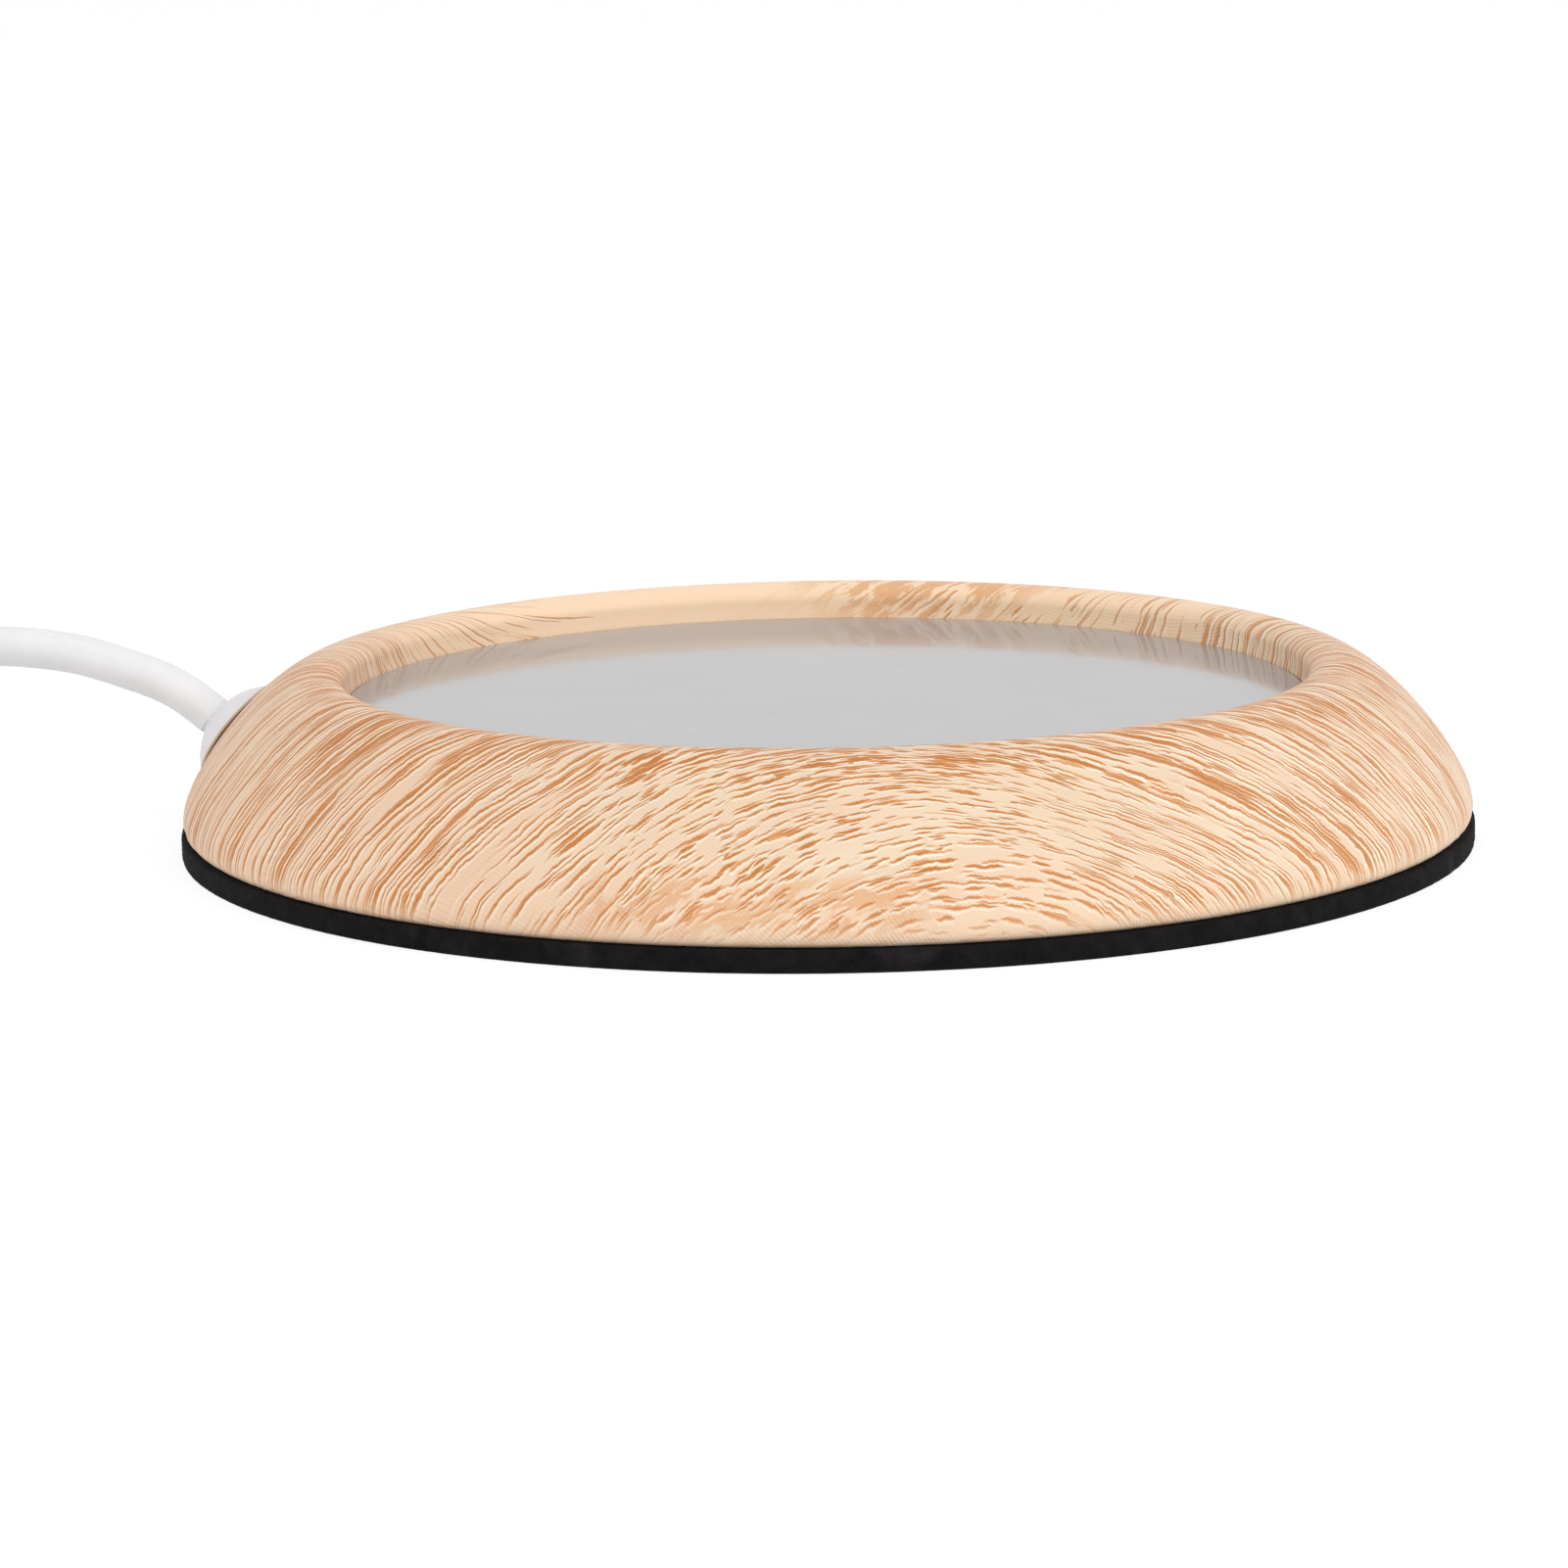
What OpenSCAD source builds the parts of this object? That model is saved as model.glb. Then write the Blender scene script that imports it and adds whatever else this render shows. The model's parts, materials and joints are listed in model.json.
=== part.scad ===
// Electric mug warmer: a round heated plate in a padded ring, fed by a thin USB lead with a switch on it.
// Millimetres. +Z is up, the origin is the centre of the foot pad's underside, the user sits at -Y.

/* [Ring] */
// Widest diameter of the ring over its cover
ring_d = 119.8; // [119:0.2:124]
// Height of the crown above the table
crown_h = 16.8; // [16.4:0.1:18]
// Width of the ring, from its widest to the edge of the opening
band_w = 15.15; // [14.9:0.05:16]
// How far out from the opening's edge the crown is highest
lip_roll = 2.65; // [2.4:0.05:3]
// Radius that turns the cover under at the foot
edge_r = 1.2; // [1:0.1:1.6]
// Thickness of the wood-grain cover
cover_t = 0.8; // [0.6:0.05:0.9]
// Wall of the moulded ring
core_wall = 1.8; // [1.5:0.1:2]
// Wall between the ring's hollow and the plate's pocket
inner_wall = 1.6; // [1.3:0.1:1.8]
// Thickness of the stiffening ribs
rib_t = 1.2; // [0.9:0.1:1.6]
// Number of stiffening ribs
rib_count = 18; // [12:2:24]

/* [Foot] */
// Thickness of the foam rubber pad
pad_t = 2; // [1.6:0.1:2.2]
// How far the pad stands out past the ring
pad_proud = 0.2; // [0:0.05:0.4]
// Thickness of the bottom plate
bottom_t = 1.6; // [1.4:0.1:1.8]

/* [Plate and heater] */
// How far the plate lies below the crown
plate_sink = 3.3; // [3:0.1:3.4]
// Thickness of the warming plate
plate_t = 2; // [1.6:0.1:2.1]
// Depth of the ledge round the plate's edge that the gasket lies on
ledge_deep = 0.6; // [0.5:0.05:0.8]
// Height of the silicone gasket above the plate's face
gasket_t = 0.5; // [0.4:0.05:0.6]
// Width of the edge that holds the plate down, seen from below
rebate_w = 4.55; // [4.3:0.05:4.8]
// Bare edge of the plate around the heater film
film_margin = 7.1; // [5:0.1:10]
// Thickness of the heater film
film_t = 0.3; // [0.2:0.05:0.4]
// Width of the heater's printed track
track_w = 1.6; // [1.2:0.1:2]
// Turns of the heater's printed track
track_turns = 6; // [4:1:7]
// Height of the room for the wiring, from the bottom plate to the steel plate
wiring_h = 4.1; // [4:0.1:4.4]
// Thickness of the steel plate that presses the stack up
retainer_t = 0.8; // [0.6:0.1:0.9]

/* [Lead] */
// Diameter of the lead
lead_d = 3.8; // [3.6:0.1:3.8]
// Diameter of the gland's flange
gland_d = 10.6; // [10:0.1:11.4]
// Height of the gland's dome over the cover
dome_h = 2.3; // [2:0.1:2.6]

/* [Lead switch] */
// Length of the switch
sw_l = 46; // [46:1:46]
// Width of the switch
sw_w = 17; // [16:0.5:18]
// Height of the switch
sw_h = 12.4; // [12.2:0.1:13]
// Wall of the switch cases
sw_wall = 1.5; // [1.2:0.1:1.7]
// Length of the rocker
rocker_l = 14; // [13:0.5:15]
// Width of the rocker
rocker_w = 8.4; // [7.5:0.1:9]
// Half of the rocker's swing, in degrees
rocker_tilt = 8; // [6:0.5:9]

/* [Plug] */
// Length of the plug's grip
grip_l = 27; // [24:1:30]
// Width of the grip
grip_w = 15.6; // [15:0.2:17]
// Thickness of the grip
grip_h = 8.2; // [7.8:0.1:8.2]
// Length of the metal shell that shows
shell_l = 18.8; // [18:0.1:19]

/* [Hidden] */
$fn = 96;
eps = 0.01;
fit = 0.2;             // gap between parts that drop into each other
slip = 0.05;           // running clearance of the rocker's pins, radial
past = 8;              // how far cutting solids run on past what they cut

ring_r = ring_d / 2;
open_r = ring_r - band_w;
crown_r = open_r + lip_roll;
waist_z = pad_t + edge_r;
flank_rise = 0.265;    // handle of the flank, as a share of its height
crown_run = 0.372;     // handle of the crown, as a share of its width
roll_share = 0.62;     // both handles of the inner roll
lip_z = crown_h - 1.7; // height where the opening is narrowest
lip_in = 0.75;         // how far the cover draws back under the lip
curve_n = 16;
roll_n = 8;

// heights, from the top down
plate_top = crown_h - plate_sink;
lip_under = plate_top + gasket_t;
plate_low = plate_top - plate_t;
film_low = plate_low - film_t;
track_t = 0.1;
felt_top = film_low - track_t;
// and from the table up; the felt fills what is left between
tuck_z = pad_t + cover_t;
bottom_top = pad_t + bottom_t;
retainer_low = bottom_top + wiring_h;
felt_low = retainer_low + retainer_t;
felt_t = felt_top - felt_low;

tuck_w = 4;
tuck_r = ring_r - tuck_w;
foot_in_r = ring_r - cover_t - core_wall;
pocket_r = open_r + rebate_w;
cav_in_r = pocket_r + inner_wall;
plate_r = pocket_r - fit;
film_r = plate_r - film_margin;
face_r = open_r - fit;

// screws
screw_d = 2.2;
head_d = 3.8;
head_h = 1.1;
boss_d = 5.2;
screw_r = pocket_r + 2.8;
screw_bite = 3;
case_screw_l = felt_low - pad_t + screw_bite / 2;
retainer_screw_l = retainer_t + screw_bite;
retainer_head_h = 1.2;
case_screw_angles = [65, 155, 245, 335];
retainer_screw_angles = [20, 110, 200, 290];

// ---- the ring's section -------------------------------------------------
function bez(p, t) = pow(1 - t, 3) * p[0] + 3 * pow(1 - t, 2) * t * p[1]
    + 3 * (1 - t) * t * t * p[2] + pow(t, 3) * p[3];
function bez_dir(p, t) = let (d = 3 * pow(1 - t, 2) * (p[1] - p[0])
    + 6 * (1 - t) * t * (p[2] - p[1]) + 3 * t * t * (p[3] - p[2])) d / norm(d);
function inset(p, t, d) = let (u = bez_dir(p, t)) bez(p, t) + d * [-u[1], u[0]];
function reverse(v) = [for (i = [len(v) - 1:-1:0]) v[i]];

flank = [
    [ring_r, waist_z],
    [ring_r, waist_z + flank_rise * (crown_h - waist_z)],
    [crown_r + crown_run * (ring_r - crown_r), crown_h],
    [crown_r, crown_h]
];
roll = [
    [crown_r, crown_h],
    [crown_r - roll_share * lip_roll, crown_h],
    [open_r, lip_z + roll_share * (crown_h - lip_z)],
    [open_r, lip_z]
];

// The outside of the ring moved inwards by d, from the foot over the crown to the lip.
function section(d) = concat(
    [for (i = [0:4]) let (a = -90 + 90 * i / 4)
        [ring_r - edge_r + (edge_r - d) * cos(a), waist_z + (edge_r - d) * sin(a)]],
    [for (i = [1:curve_n]) inset(flank, i / curve_n, d)],
    [for (i = [1:roll_n]) inset(roll, i / roll_n, d)]
);
function hollow(d) = [for (i = [0:curve_n]) let (p = inset(flank, i / curve_n, d)) if (p[0] > cav_in_r) p];

module spin(points) {
    rotate_extrude() polygon(points);
}

module at_angles(angles, r) {
    for (a = angles) rotate([0, 0, a]) translate([r, 0, 0]) children();
}

// ---- the gland's place on the flank --------------------------------------
gland_az = 169.5;
gland_t = 0.365;
gland_p = bez(flank, gland_t);
gland_n = -inset(flank, gland_t, 1) + gland_p;
gland_tilt = atan2(gland_n[1], gland_n[0]);
seat_depth = cover_t + 0.2;
pad_depth = 3;         // depth of the flat inside the wall that the gland's head pulls against
gland_neck_d = 5.4;
gland_head_d = 6.8;
gland_head_t = 1;
gland_bore_d = lead_d + 0.1;

// Children are drawn with +Z along the gland's axis, pointing out, and 0 on the cover's surface.
module at_gland() {
    rotate([0, 0, gland_az]) translate([gland_p[0], 0, gland_p[1]]) rotate([0, 90 - gland_tilt, 0]) children();
}
module gland_seat() {
    at_gland() translate([0, 0, -seat_depth]) cylinder(d = gland_d + 2 * fit, h = past);
}

// ---- body ----------------------------------------------------------------
module base_pad() {
    nick = 0.25;
    r = ring_r + pad_proud;
    color([0.07, 0.07, 0.07])
        spin([[0, 0], [r - nick, 0], [r, nick], [r, pad_t - nick], [r - nick, pad_t], [0, pad_t]]);
}

module wood_grain_cover() {
    outer = section(0);
    inner = section(cover_t);
    end_z = plate_top + 0.15;
    color([0.93, 0.78, 0.6]) difference() {
        spin(concat(
            [[tuck_r, pad_t]], outer,
            [[open_r + lip_in, end_z], [open_r + lip_in + cover_t, end_z]],
            reverse(inner), [[tuck_r, tuck_z]]
        ));
        gland_seat();
    }
}

module core_shell() {
    spin(concat(
        section(cover_t),
        [[open_r + lip_in + cover_t, lip_under], [pocket_r, lip_under], [pocket_r, bottom_top]],
        [[foot_in_r, bottom_top], [foot_in_r, tuck_z]]
    ));
}

module core_hollow() {
    points = hollow(cover_t + core_wall);
    top = points[len(points) - 1];
    spin(concat(
        [[cav_in_r, bottom_top - 1], [foot_in_r, bottom_top - 1]], points, [[cav_in_r, top[1]]]
    ));
}

// Radial ribs, set so that the gland falls midway between two of them.
module core_ribs() {
    for (i = [0:rib_count - 1])
        rotate([0, 0, gland_az + (i + 0.5) * 360 / rib_count])
            translate([cav_in_r - 1, -rib_t / 2, bottom_top]) cube([ring_r - cav_in_r, rib_t, crown_h]);
}

module rim_core() {
    notch_w = 5.4;
    wire_w = 7;
    pilot_deep = 3.4;
    color([0.9, 0.89, 0.86]) difference() {
        core_shell();
        difference() {
            core_hollow();
            core_ribs();
            at_angles(case_screw_angles, screw_r) translate([0, 0, bottom_top]) cylinder(d = boss_d, h = crown_h);
            at_angles(retainer_screw_angles, screw_r) translate([0, 0, felt_low]) cylinder(d = boss_d, h = crown_h);
            at_gland() translate([0, 0, -pad_depth]) cylinder(d = gland_d + 2, h = past);
        }
        // ribs stop short where the retainer's ears and the lead come through
        at_angles(retainer_screw_angles, screw_r)
            translate([-4, -notch_w / 2, bottom_top - 1]) cube([6.6, notch_w, felt_low - bottom_top + 1]);
        rotate([0, 0, gland_az])
            translate([pocket_r - 1, -wire_w / 2, bottom_top - 1]) cube([4.6, wire_w, retainer_low - bottom_top + 1]);
        at_angles(case_screw_angles, screw_r)
            translate([0, 0, bottom_top - 1]) cylinder(d = screw_d, h = felt_low + pilot_deep - bottom_top + 1);
        at_angles(retainer_screw_angles, screw_r)
            translate([0, 0, felt_low - 1]) cylinder(d = screw_d, h = pilot_deep + 1);
        gland_seat();
        at_gland() translate([0, 0, -pad_depth - 1]) cylinder(d = gland_neck_d + fit, h = pad_depth + 1);
    }
}

module bottom_plate() {
    color([0.16, 0.16, 0.17]) difference() {
        union() {
            spin([
                [0, pad_t], [tuck_r - fit, pad_t], [tuck_r - fit, tuck_z], [foot_in_r - fit, tuck_z],
                [foot_in_r - fit, bottom_top], [0, bottom_top]
            ]);
            for (p = board_posts) translate([p[0], p[1], bottom_top - eps]) cylinder(d = post_d, h = board_lift + eps);
            for (p = board_posts) translate([p[0], p[1], bottom_top]) cylinder(d = pin_d, h = board_lift + board_t + 0.5);
            for (p = clamp_posts) translate([p[0], p[1], bottom_top - eps]) cylinder(d = clamp_post_d, h = clamp_lift + eps);
        }
        at_angles(case_screw_angles, screw_r) {
            translate([0, 0, pad_t - eps]) cylinder(d1 = head_d + 2 * eps, d2 = screw_d, h = head_h + eps);
            translate([0, 0, pad_t - 1]) cylinder(d = screw_d + 0.2, h = bottom_t + 2);
        }
        for (p = clamp_posts) translate([p[0], p[1], bottom_top - 0.6]) cylinder(d = clamp_screw_d, h = 6);
    }
}

module case_screws() {
    color("silver") at_angles(case_screw_angles, screw_r) difference() {
        union() {
            translate([0, 0, pad_t]) cylinder(d1 = head_d, d2 = screw_d, h = head_h);
            translate([0, 0, pad_t]) cylinder(d = screw_d, h = case_screw_l);
        }
        cross_recess(pad_t, 1);
    }
}

// A cross recess cut into a screw head that faces down at height z.
module cross_recess(z, w) {
    for (a = [0, 90]) rotate([0, 0, a]) translate([-w, -0.2, z - eps]) cube([2 * w, 0.4, 0.6]);
}

// The plate's face stands up through the gasket, so that a mug meets nothing but the plate.
ledge_z = plate_top - ledge_deep;
module warming_plate() {
    ease = 0.25;
    color([0.76, 0.76, 0.77]) spin([
        [0, plate_low], [plate_r - ease, plate_low], [plate_r, plate_low + ease], [plate_r, ledge_z],
        [face_r, ledge_z], [face_r, plate_top - ease], [face_r - ease, plate_top], [0, plate_top]
    ]);
}

module plate_gasket() {
    in_r = face_r + 0.15;
    step_r = open_r + lip_in + cover_t + fit;
    out_r = plate_r - 0.25;
    step_z = plate_top - 0.15;
    color([0.3, 0.3, 0.3]) spin([
        [in_r, ledge_z], [out_r, ledge_z], [out_r, lip_under], [step_r, lip_under], [step_r, step_z], [in_r, step_z]
    ]);
}

module heater_film() {
    tab_w = 8;
    tab_l = 3;
    color([0.85, 0.55, 0.15]) translate([0, 0, film_low]) {
        cylinder(r = film_r, h = film_t);
        translate([0, -tab_w / 2, 0]) cube([film_r + tab_l, tab_w, film_t]);
    }
}

// The printed track: rings cut open at +X and linked in turn, with a line back along the cut.
track_step = (film_r - 4) / (track_turns + 0.5);
track_gap = 3.2;
return_w = 1.2;
module heater_track() {
    rail = track_gap / 2;
    color([0.35, 0.3, 0.28]) translate([0, 0, felt_top]) {
        difference() {
            for (i = [1:track_turns]) difference() {
                cylinder(r = i * track_step + track_w / 2, h = track_t);
                translate([0, 0, -1]) cylinder(r = i * track_step - track_w / 2, h = 2);
            }
            translate([0, -rail, -1]) cube([2 * film_r, track_gap, 2]);
        }
        for (i = [1:track_turns - 1]) let (up = i % 2 == 1)
            translate([i * track_step, up ? rail : -rail - track_w, 0]) cube([track_step, track_w, track_t]);
        translate([tail_x - 2, -return_w / 2, 0]) cube([track_turns * track_step - tail_x + 2, return_w, track_t]);
        translate([track_turns * track_step - track_w / 2, track_turns % 2 == 0 ? -rail - track_w / 2 : 0, 0])
            cube([track_w, rail + track_w / 2, track_t]);
    }
}

thermostat_l = 15;
thermostat_w = 7;
thermostat_t = 2.6;
thermostat_y = 16;
thermostat_room = 1.2; // at each end, for its legs

module insulation_disc() {
    color([0.93, 0.93, 0.9]) difference() {
        translate([0, 0, felt_low]) cylinder(r = plate_r - 0.4, h = felt_t);
        thermostat_slot(felt_low - 1, felt_t + 2);
        translate([tail_x - 2, -tail_slot / 2, felt_low - 1]) cube([4, tail_slot, felt_t + 2]);
    }
}

module thermostat_slot(z, h) {
    translate([-thermostat_l / 2 - thermostat_room, thermostat_y - thermostat_w / 2 - fit, z])
        cube([thermostat_l + 2 * thermostat_room, thermostat_w + 2 * fit, h]);
}

// Glued under the film, it hangs in the slot.
module thermostat() {
    leg = [1, 2, 0.4];
    color([0.8, 0.8, 0.8]) {
        translate([-thermostat_l / 2, thermostat_y - thermostat_w / 2, felt_top - thermostat_t])
            cube([thermostat_l, thermostat_w, thermostat_t]);
        for (s = [-1, 1]) translate([s * (thermostat_l + leg[0]) / 2 - leg[0] / 2, thermostat_y - leg[1] / 2, felt_top - 1.6])
            cube(leg);
    }
}

module retainer_plate() {
    disc_r = plate_r - 1.5;
    bead_r = disc_r - 6;
    bead_w = 2;
    hole_d = 10;
    hole_at = 0.62 * disc_r;
    color([0.7, 0.71, 0.73]) difference() {
        translate([0, 0, retainer_low]) union() {
            cylinder(r = disc_r, h = retainer_t);
            at_angles(retainer_screw_angles, 0) translate([0, -2, 0]) cube([screw_r, 4, retainer_t]);
            at_angles(retainer_screw_angles, screw_r) cylinder(d = 4, h = retainer_t);
        }
        // pressed groove that stiffens the disc
        translate([0, 0, retainer_low - 1]) difference() {
            cylinder(r = bead_r + bead_w / 2, h = 1.3);
            translate([0, 0, -1]) cylinder(r = bead_r - bead_w / 2, h = 4);
        }
        at_angles(retainer_screw_angles, screw_r) translate([0, 0, retainer_low - 1]) cylinder(d = screw_d, h = 4);
        for (a = [30:60:330]) rotate([0, 0, a]) translate([hole_at, 0, retainer_low - 1]) cylinder(d = hole_d, h = 4);
        thermostat_slot(retainer_low - 1, retainer_t + 2);
        translate([tail_x - 2.5, -tail_slot / 2 - 0.5, retainer_low - 1]) cube([5, tail_slot + 1, 4]);
    }
}

module retainer_screws() {
    color("silver") at_angles(retainer_screw_angles, screw_r) difference() {
        translate([0, 0, retainer_low]) union() {
            translate([0, 0, -retainer_head_h]) cylinder(d = head_d, h = retainer_head_h);
            cylinder(d = screw_d, h = retainer_screw_l);
        }
        cross_recess(retainer_low - retainer_head_h, 1);
    }
}

// ---- wiring in the body ---------------------------------------------------
clamp_x = 7.8 - pocket_r;
board_l = 26;
board_w = 14;
board_t = 1;
board_x = clamp_x + 21.5;
board_lift = 1;
post_d = 3.4;
pin_d = 1.6;
board_posts = [[board_x - 10.5, -4.5], [board_x + 10.5, 4.5]];
clamp_y = 7.6;
clamp_lift = 1.7;
clamp_post_d = 3.4;
clamp_screw_d = 1.6;
clamp_half = 5.2;
clamp_posts = [[clamp_x, clamp_y - clamp_half], [clamp_x, clamp_y + clamp_half]];
wire_d = 1.4;
tail_x = 4;
tail_slot = 8;
tail_d = 1.2;
pad_h = 0.3;
pads = [[board_x - 11, -0.8], [board_x - 10, 2.4], [board_x + 10, 1.6], [board_x + 10, -1.6]];
pad_size = [2, 1.6];
fuse = [7, 5, 1.5];
suppressor = [4, 2.4, 1.1];

module cord_clamp() {
    color([0.85, 0.84, 0.8]) difference() {
        hull() for (p = clamp_posts) translate([p[0], p[1], bottom_top + clamp_lift]) cylinder(d = 4, h = 1.1, $fn = 32);
        for (p = clamp_posts) translate([p[0], p[1], bottom_top]) cylinder(d = clamp_screw_d, h = 6);
    }
}

module clamp_screws() {
    low = bottom_top + clamp_lift;
    color("silver") for (p = clamp_posts) translate([p[0], p[1], 0]) {
        translate([0, 0, bottom_top - 0.4]) cylinder(d = clamp_screw_d, h = clamp_lift + 1.6);
        translate([0, 0, low + 1.1]) cylinder(d = 3, h = 0.8);
    }
}

module terminal_board() {
    color([0.1, 0.4, 0.2]) difference() {
        translate([board_x - board_l / 2, -board_w / 2, bottom_top + board_lift]) cube([board_l, board_w, board_t]);
        for (p = board_posts) translate([p[0], p[1], 0]) cylinder(d = pin_d, h = 20);
    }
}

// Resettable fuse, suppressor and the solder pads.
module board_parts() {
    z = bottom_top + board_lift + board_t;
    color([0.75, 0.65, 0.3]) {
        translate([board_x - 2, -4.5, z]) cube(fuse);
        translate([board_x - 4.5, 2.2, z]) cube(suppressor);
        for (p = pads) translate([p[0] - pad_size[0] / 2, p[1] - pad_size[1] / 2, z])
            cube([pad_size[0], pad_size[1], pad_h]);
    }
}

// ---- tubes -----------------------------------------------------------------
function unit(v) = v / norm(v);
function tangent(p, i) = unit(p[min(i + 1, len(p) - 1)] - p[max(i - 1, 0)]);
function side(t) = unit(cross(abs(t[2]) > 0.95 ? [1, 0, 0] : [0, 0, 1], t));

// A closed tube of n flat sides along the points p.
module tube(p, d, n) {
    rings = [for (i = [0:len(p) - 1])
        let (t = tangent(p, i), a = side(t), b = cross(t, a))
            for (k = [0:n - 1]) p[i] + d / 2 * (cos(360 * k / n) * a + sin(360 * k / n) * b)];
    last = (len(p) - 1) * n;
    polyhedron(
        points = rings,
        faces = concat(
            [[for (k = [0:n - 1]) k]],
            [[for (k = [n - 1:-1:0]) last + k]],
            [for (i = [0:len(p) - 2], k = [0:n - 1])
                [i * n + k, (i + 1) * n + k, (i + 1) * n + (k + 1) % n, i * n + (k + 1) % n]]
        ),
        convexity = 10
    );
}

// A point on the gland's axis, h outside the cover's surface.
function on_gland(h) = let (r = gland_p[0] + h * cos(gland_tilt))
    [r * cos(gland_az), r * sin(gland_az), gland_p[1] + h * sin(gland_tilt)];

lead_z = bottom_top + lead_d / 2 + 0.1;
inlet_route = [
    on_gland(dome_h), on_gland(0.4), on_gland(-2), on_gland(-4),
    [-pocket_r - 1.5, 9.4, lead_z + 0.1], [0.8 - pocket_r, 9, lead_z], [3.3 - pocket_r, 8.5, lead_z]
];
near_inner = inlet_route[len(inlet_route) - 1];
wire_z = bottom_top + wire_d / 2;
pad_z = bottom_top + board_lift + board_t + pad_h + wire_d / 2;
live_route = [
    near_inner + [0, -1, 0.2], [clamp_x - 2.5, 6.9, wire_z + 0.1], [clamp_x, 6.5, wire_z], [clamp_x + 3.5, 6, wire_z],
    [board_x - 16, 4, wire_z + 0.8], [board_x - 14, 1, pad_z], [board_x - 10.5, -0.8, pad_z]
];
return_route = [
    near_inner + [0, 1, -0.2], [clamp_x - 2.5, 9.2, wire_z + 0.1], [clamp_x, 9, wire_z], [clamp_x + 4, 8.6, wire_z + 0.2],
    [board_x - 15.5, 7, wire_z + 1.2], [board_x - 13.5, 4.2, pad_z], [board_x - 9.5, 2.4, pad_z]
];
// the tails run straight from the board, then turn up through the slot in the felt
tail_from = board_x + 10;
tail_run = tail_x - 1 - tail_from;
tail_a_route = [
    [tail_from, 1.6, pad_z], [tail_from + 0.3 * tail_run, 1.8, pad_z], [tail_from + 0.6 * tail_run, 1.8, pad_z],
    [tail_x - 2.8, 1.2, pad_z + 0.2], [tail_x - 1.2, 0.4, felt_low - 0.7], [tail_x - 1, 0, felt_low + 0.9],
    [tail_x - 1, 0, felt_top]
];
tail_b_route = [
    [tail_from, -1.6, pad_z], [tail_from + 0.3 * tail_run, -1.8, pad_z], [tail_from + 0.6 * tail_run, -2.2, pad_z],
    [tail_x - 1.4, -2.6, pad_z + 0.2], [tail_x + 0.8, -2.6, felt_low - 0.7], [tail_x + 1.2, -2.6, felt_low + 0.9],
    [tail_x + 1.2, -2.6, felt_top]
];

module lead_inlet() {
    color("white") tube(inlet_route, lead_d, 12);
}
module wire_live() {
    color("red") tube(live_route, wire_d, 8);
}
module wire_return() {
    color([0.1, 0.1, 0.1]) tube(return_route, wire_d, 8);
}
module heater_tails() {
    color([0.9, 0.9, 0.9]) {
        tube(tail_a_route, tail_d, 8);
        tube(tail_b_route, tail_d, 8);
    }
}

// ---- gland ------------------------------------------------------------------
module cable_gland() {
    flange_r = gland_d / 2;
    rim = 0.3;         // depth of the dome's edge below the cover's surface
    rise = dome_h + rim;
    ball_r = (flange_r * flange_r + rise * rise) / (2 * rise);
    color([0.95, 0.94, 0.95]) at_gland() difference() {
        union() {
            intersection() {
                translate([0, 0, dome_h - ball_r]) sphere(r = ball_r);
                translate([0, 0, -seat_depth]) cylinder(r = flange_r, h = seat_depth + dome_h + 1);
            }
            translate([0, 0, -pad_depth]) cylinder(d = gland_neck_d, h = pad_depth);
            translate([0, 0, -pad_depth - gland_head_t]) cylinder(d = gland_head_d, h = gland_head_t);
        }
        translate([0, 0, -pad_depth - 3]) cylinder(d = gland_bore_d, h = 12);
    }
}

// ---- the lead outside the body -----------------------------------------------
// Places on the table are measured from the left edge of the foot, in x.
edge_x = -ring_r - pad_proud;
function from_edge(points) = [for (p = points) p + [edge_x, 0, 0]];

coil_at = [edge_x - 47.9, -17];
sw_at = [edge_x - 62.4, -56];
seam_z = 6;

// The lead leaves the gland upwards, comes down to the table and runs round to the switch.
near_route = concat([on_gland(dome_h), on_gland(dome_h + 4.6)], from_edge([
    [-6.7, 12.3, 14.7], [-11.9, 13, 16.1], [-18.4, 13.7, 16.7], [-23.4, 14.2, 16.3], [-27.9, 14.6, 15],
    [-32.7, 14.9, 12.8], [-37.3, 15, 9.4], [-41.9, 15, 5.9], [-46.4, 15, 3.7], [-51.4, 15, 2.4],
    [-56.9, 15, 2], [-64.9, 15, 2], [-72.9, 15, 2], [-80.4, 15, 2], [-85.9, 14.2, 2], [-90.9, 12, 2],
    [-95.4, 8.5, 2], [-98.7, 4, 2], [-100.2, -1, 2], [-100.4, -7, 2], [-100.4, -15, 2],
    [-100.4, -24, 2], [-100.4, -32, 2.3], [-100.1, -39, 3.2], [-98.7, -45.5, 4], [-95.9, -51, 5],
    [-92.4, -54.6, 5.7], [-88.9, -56, 6]
]), [[sw_at[0] - sw_l / 2, sw_at[1], seam_z]]);
// From the switch round to the start of the coil.
far_route = concat([[sw_at[0] + sw_l / 2, sw_at[1], seam_z]], from_edge([
    [-36.4, -56, 6], [-31.9, -54.8, 5.5], [-27.5, -51.8, 4.5], [-23.9, -47.4, 3.5],
    [-21.9, -42, 2.6], [-21.4, -36, 2.1], [-21.4, -29, 2], [-21.4, -23, 2], [-21.4, -17, 2]
]));
// Off the top of the coil and into the plug.
tail_route = from_edge([
    [-28.3, -28.3, 8.7], [-25.3, -23.1, 9.2], [-22.3, -17.9, 9.6], [-20.3, -11.5, 10],
    [-21.1, -4.8, 10.4], [-24.7, 0.8, 10.8], [-30.4, 4.4, 11.2], [-37.1, 5.3, 11.6],
    [-42.3, 3.9, 11.8], [-46.7, 0.8, 11.9]
]);
coil_pitch = 3.9;
coil_first_r = 14.8;
coil_turns_low = 4;
coil_turns_high = 3;
coil_low_z = 2;

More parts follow.
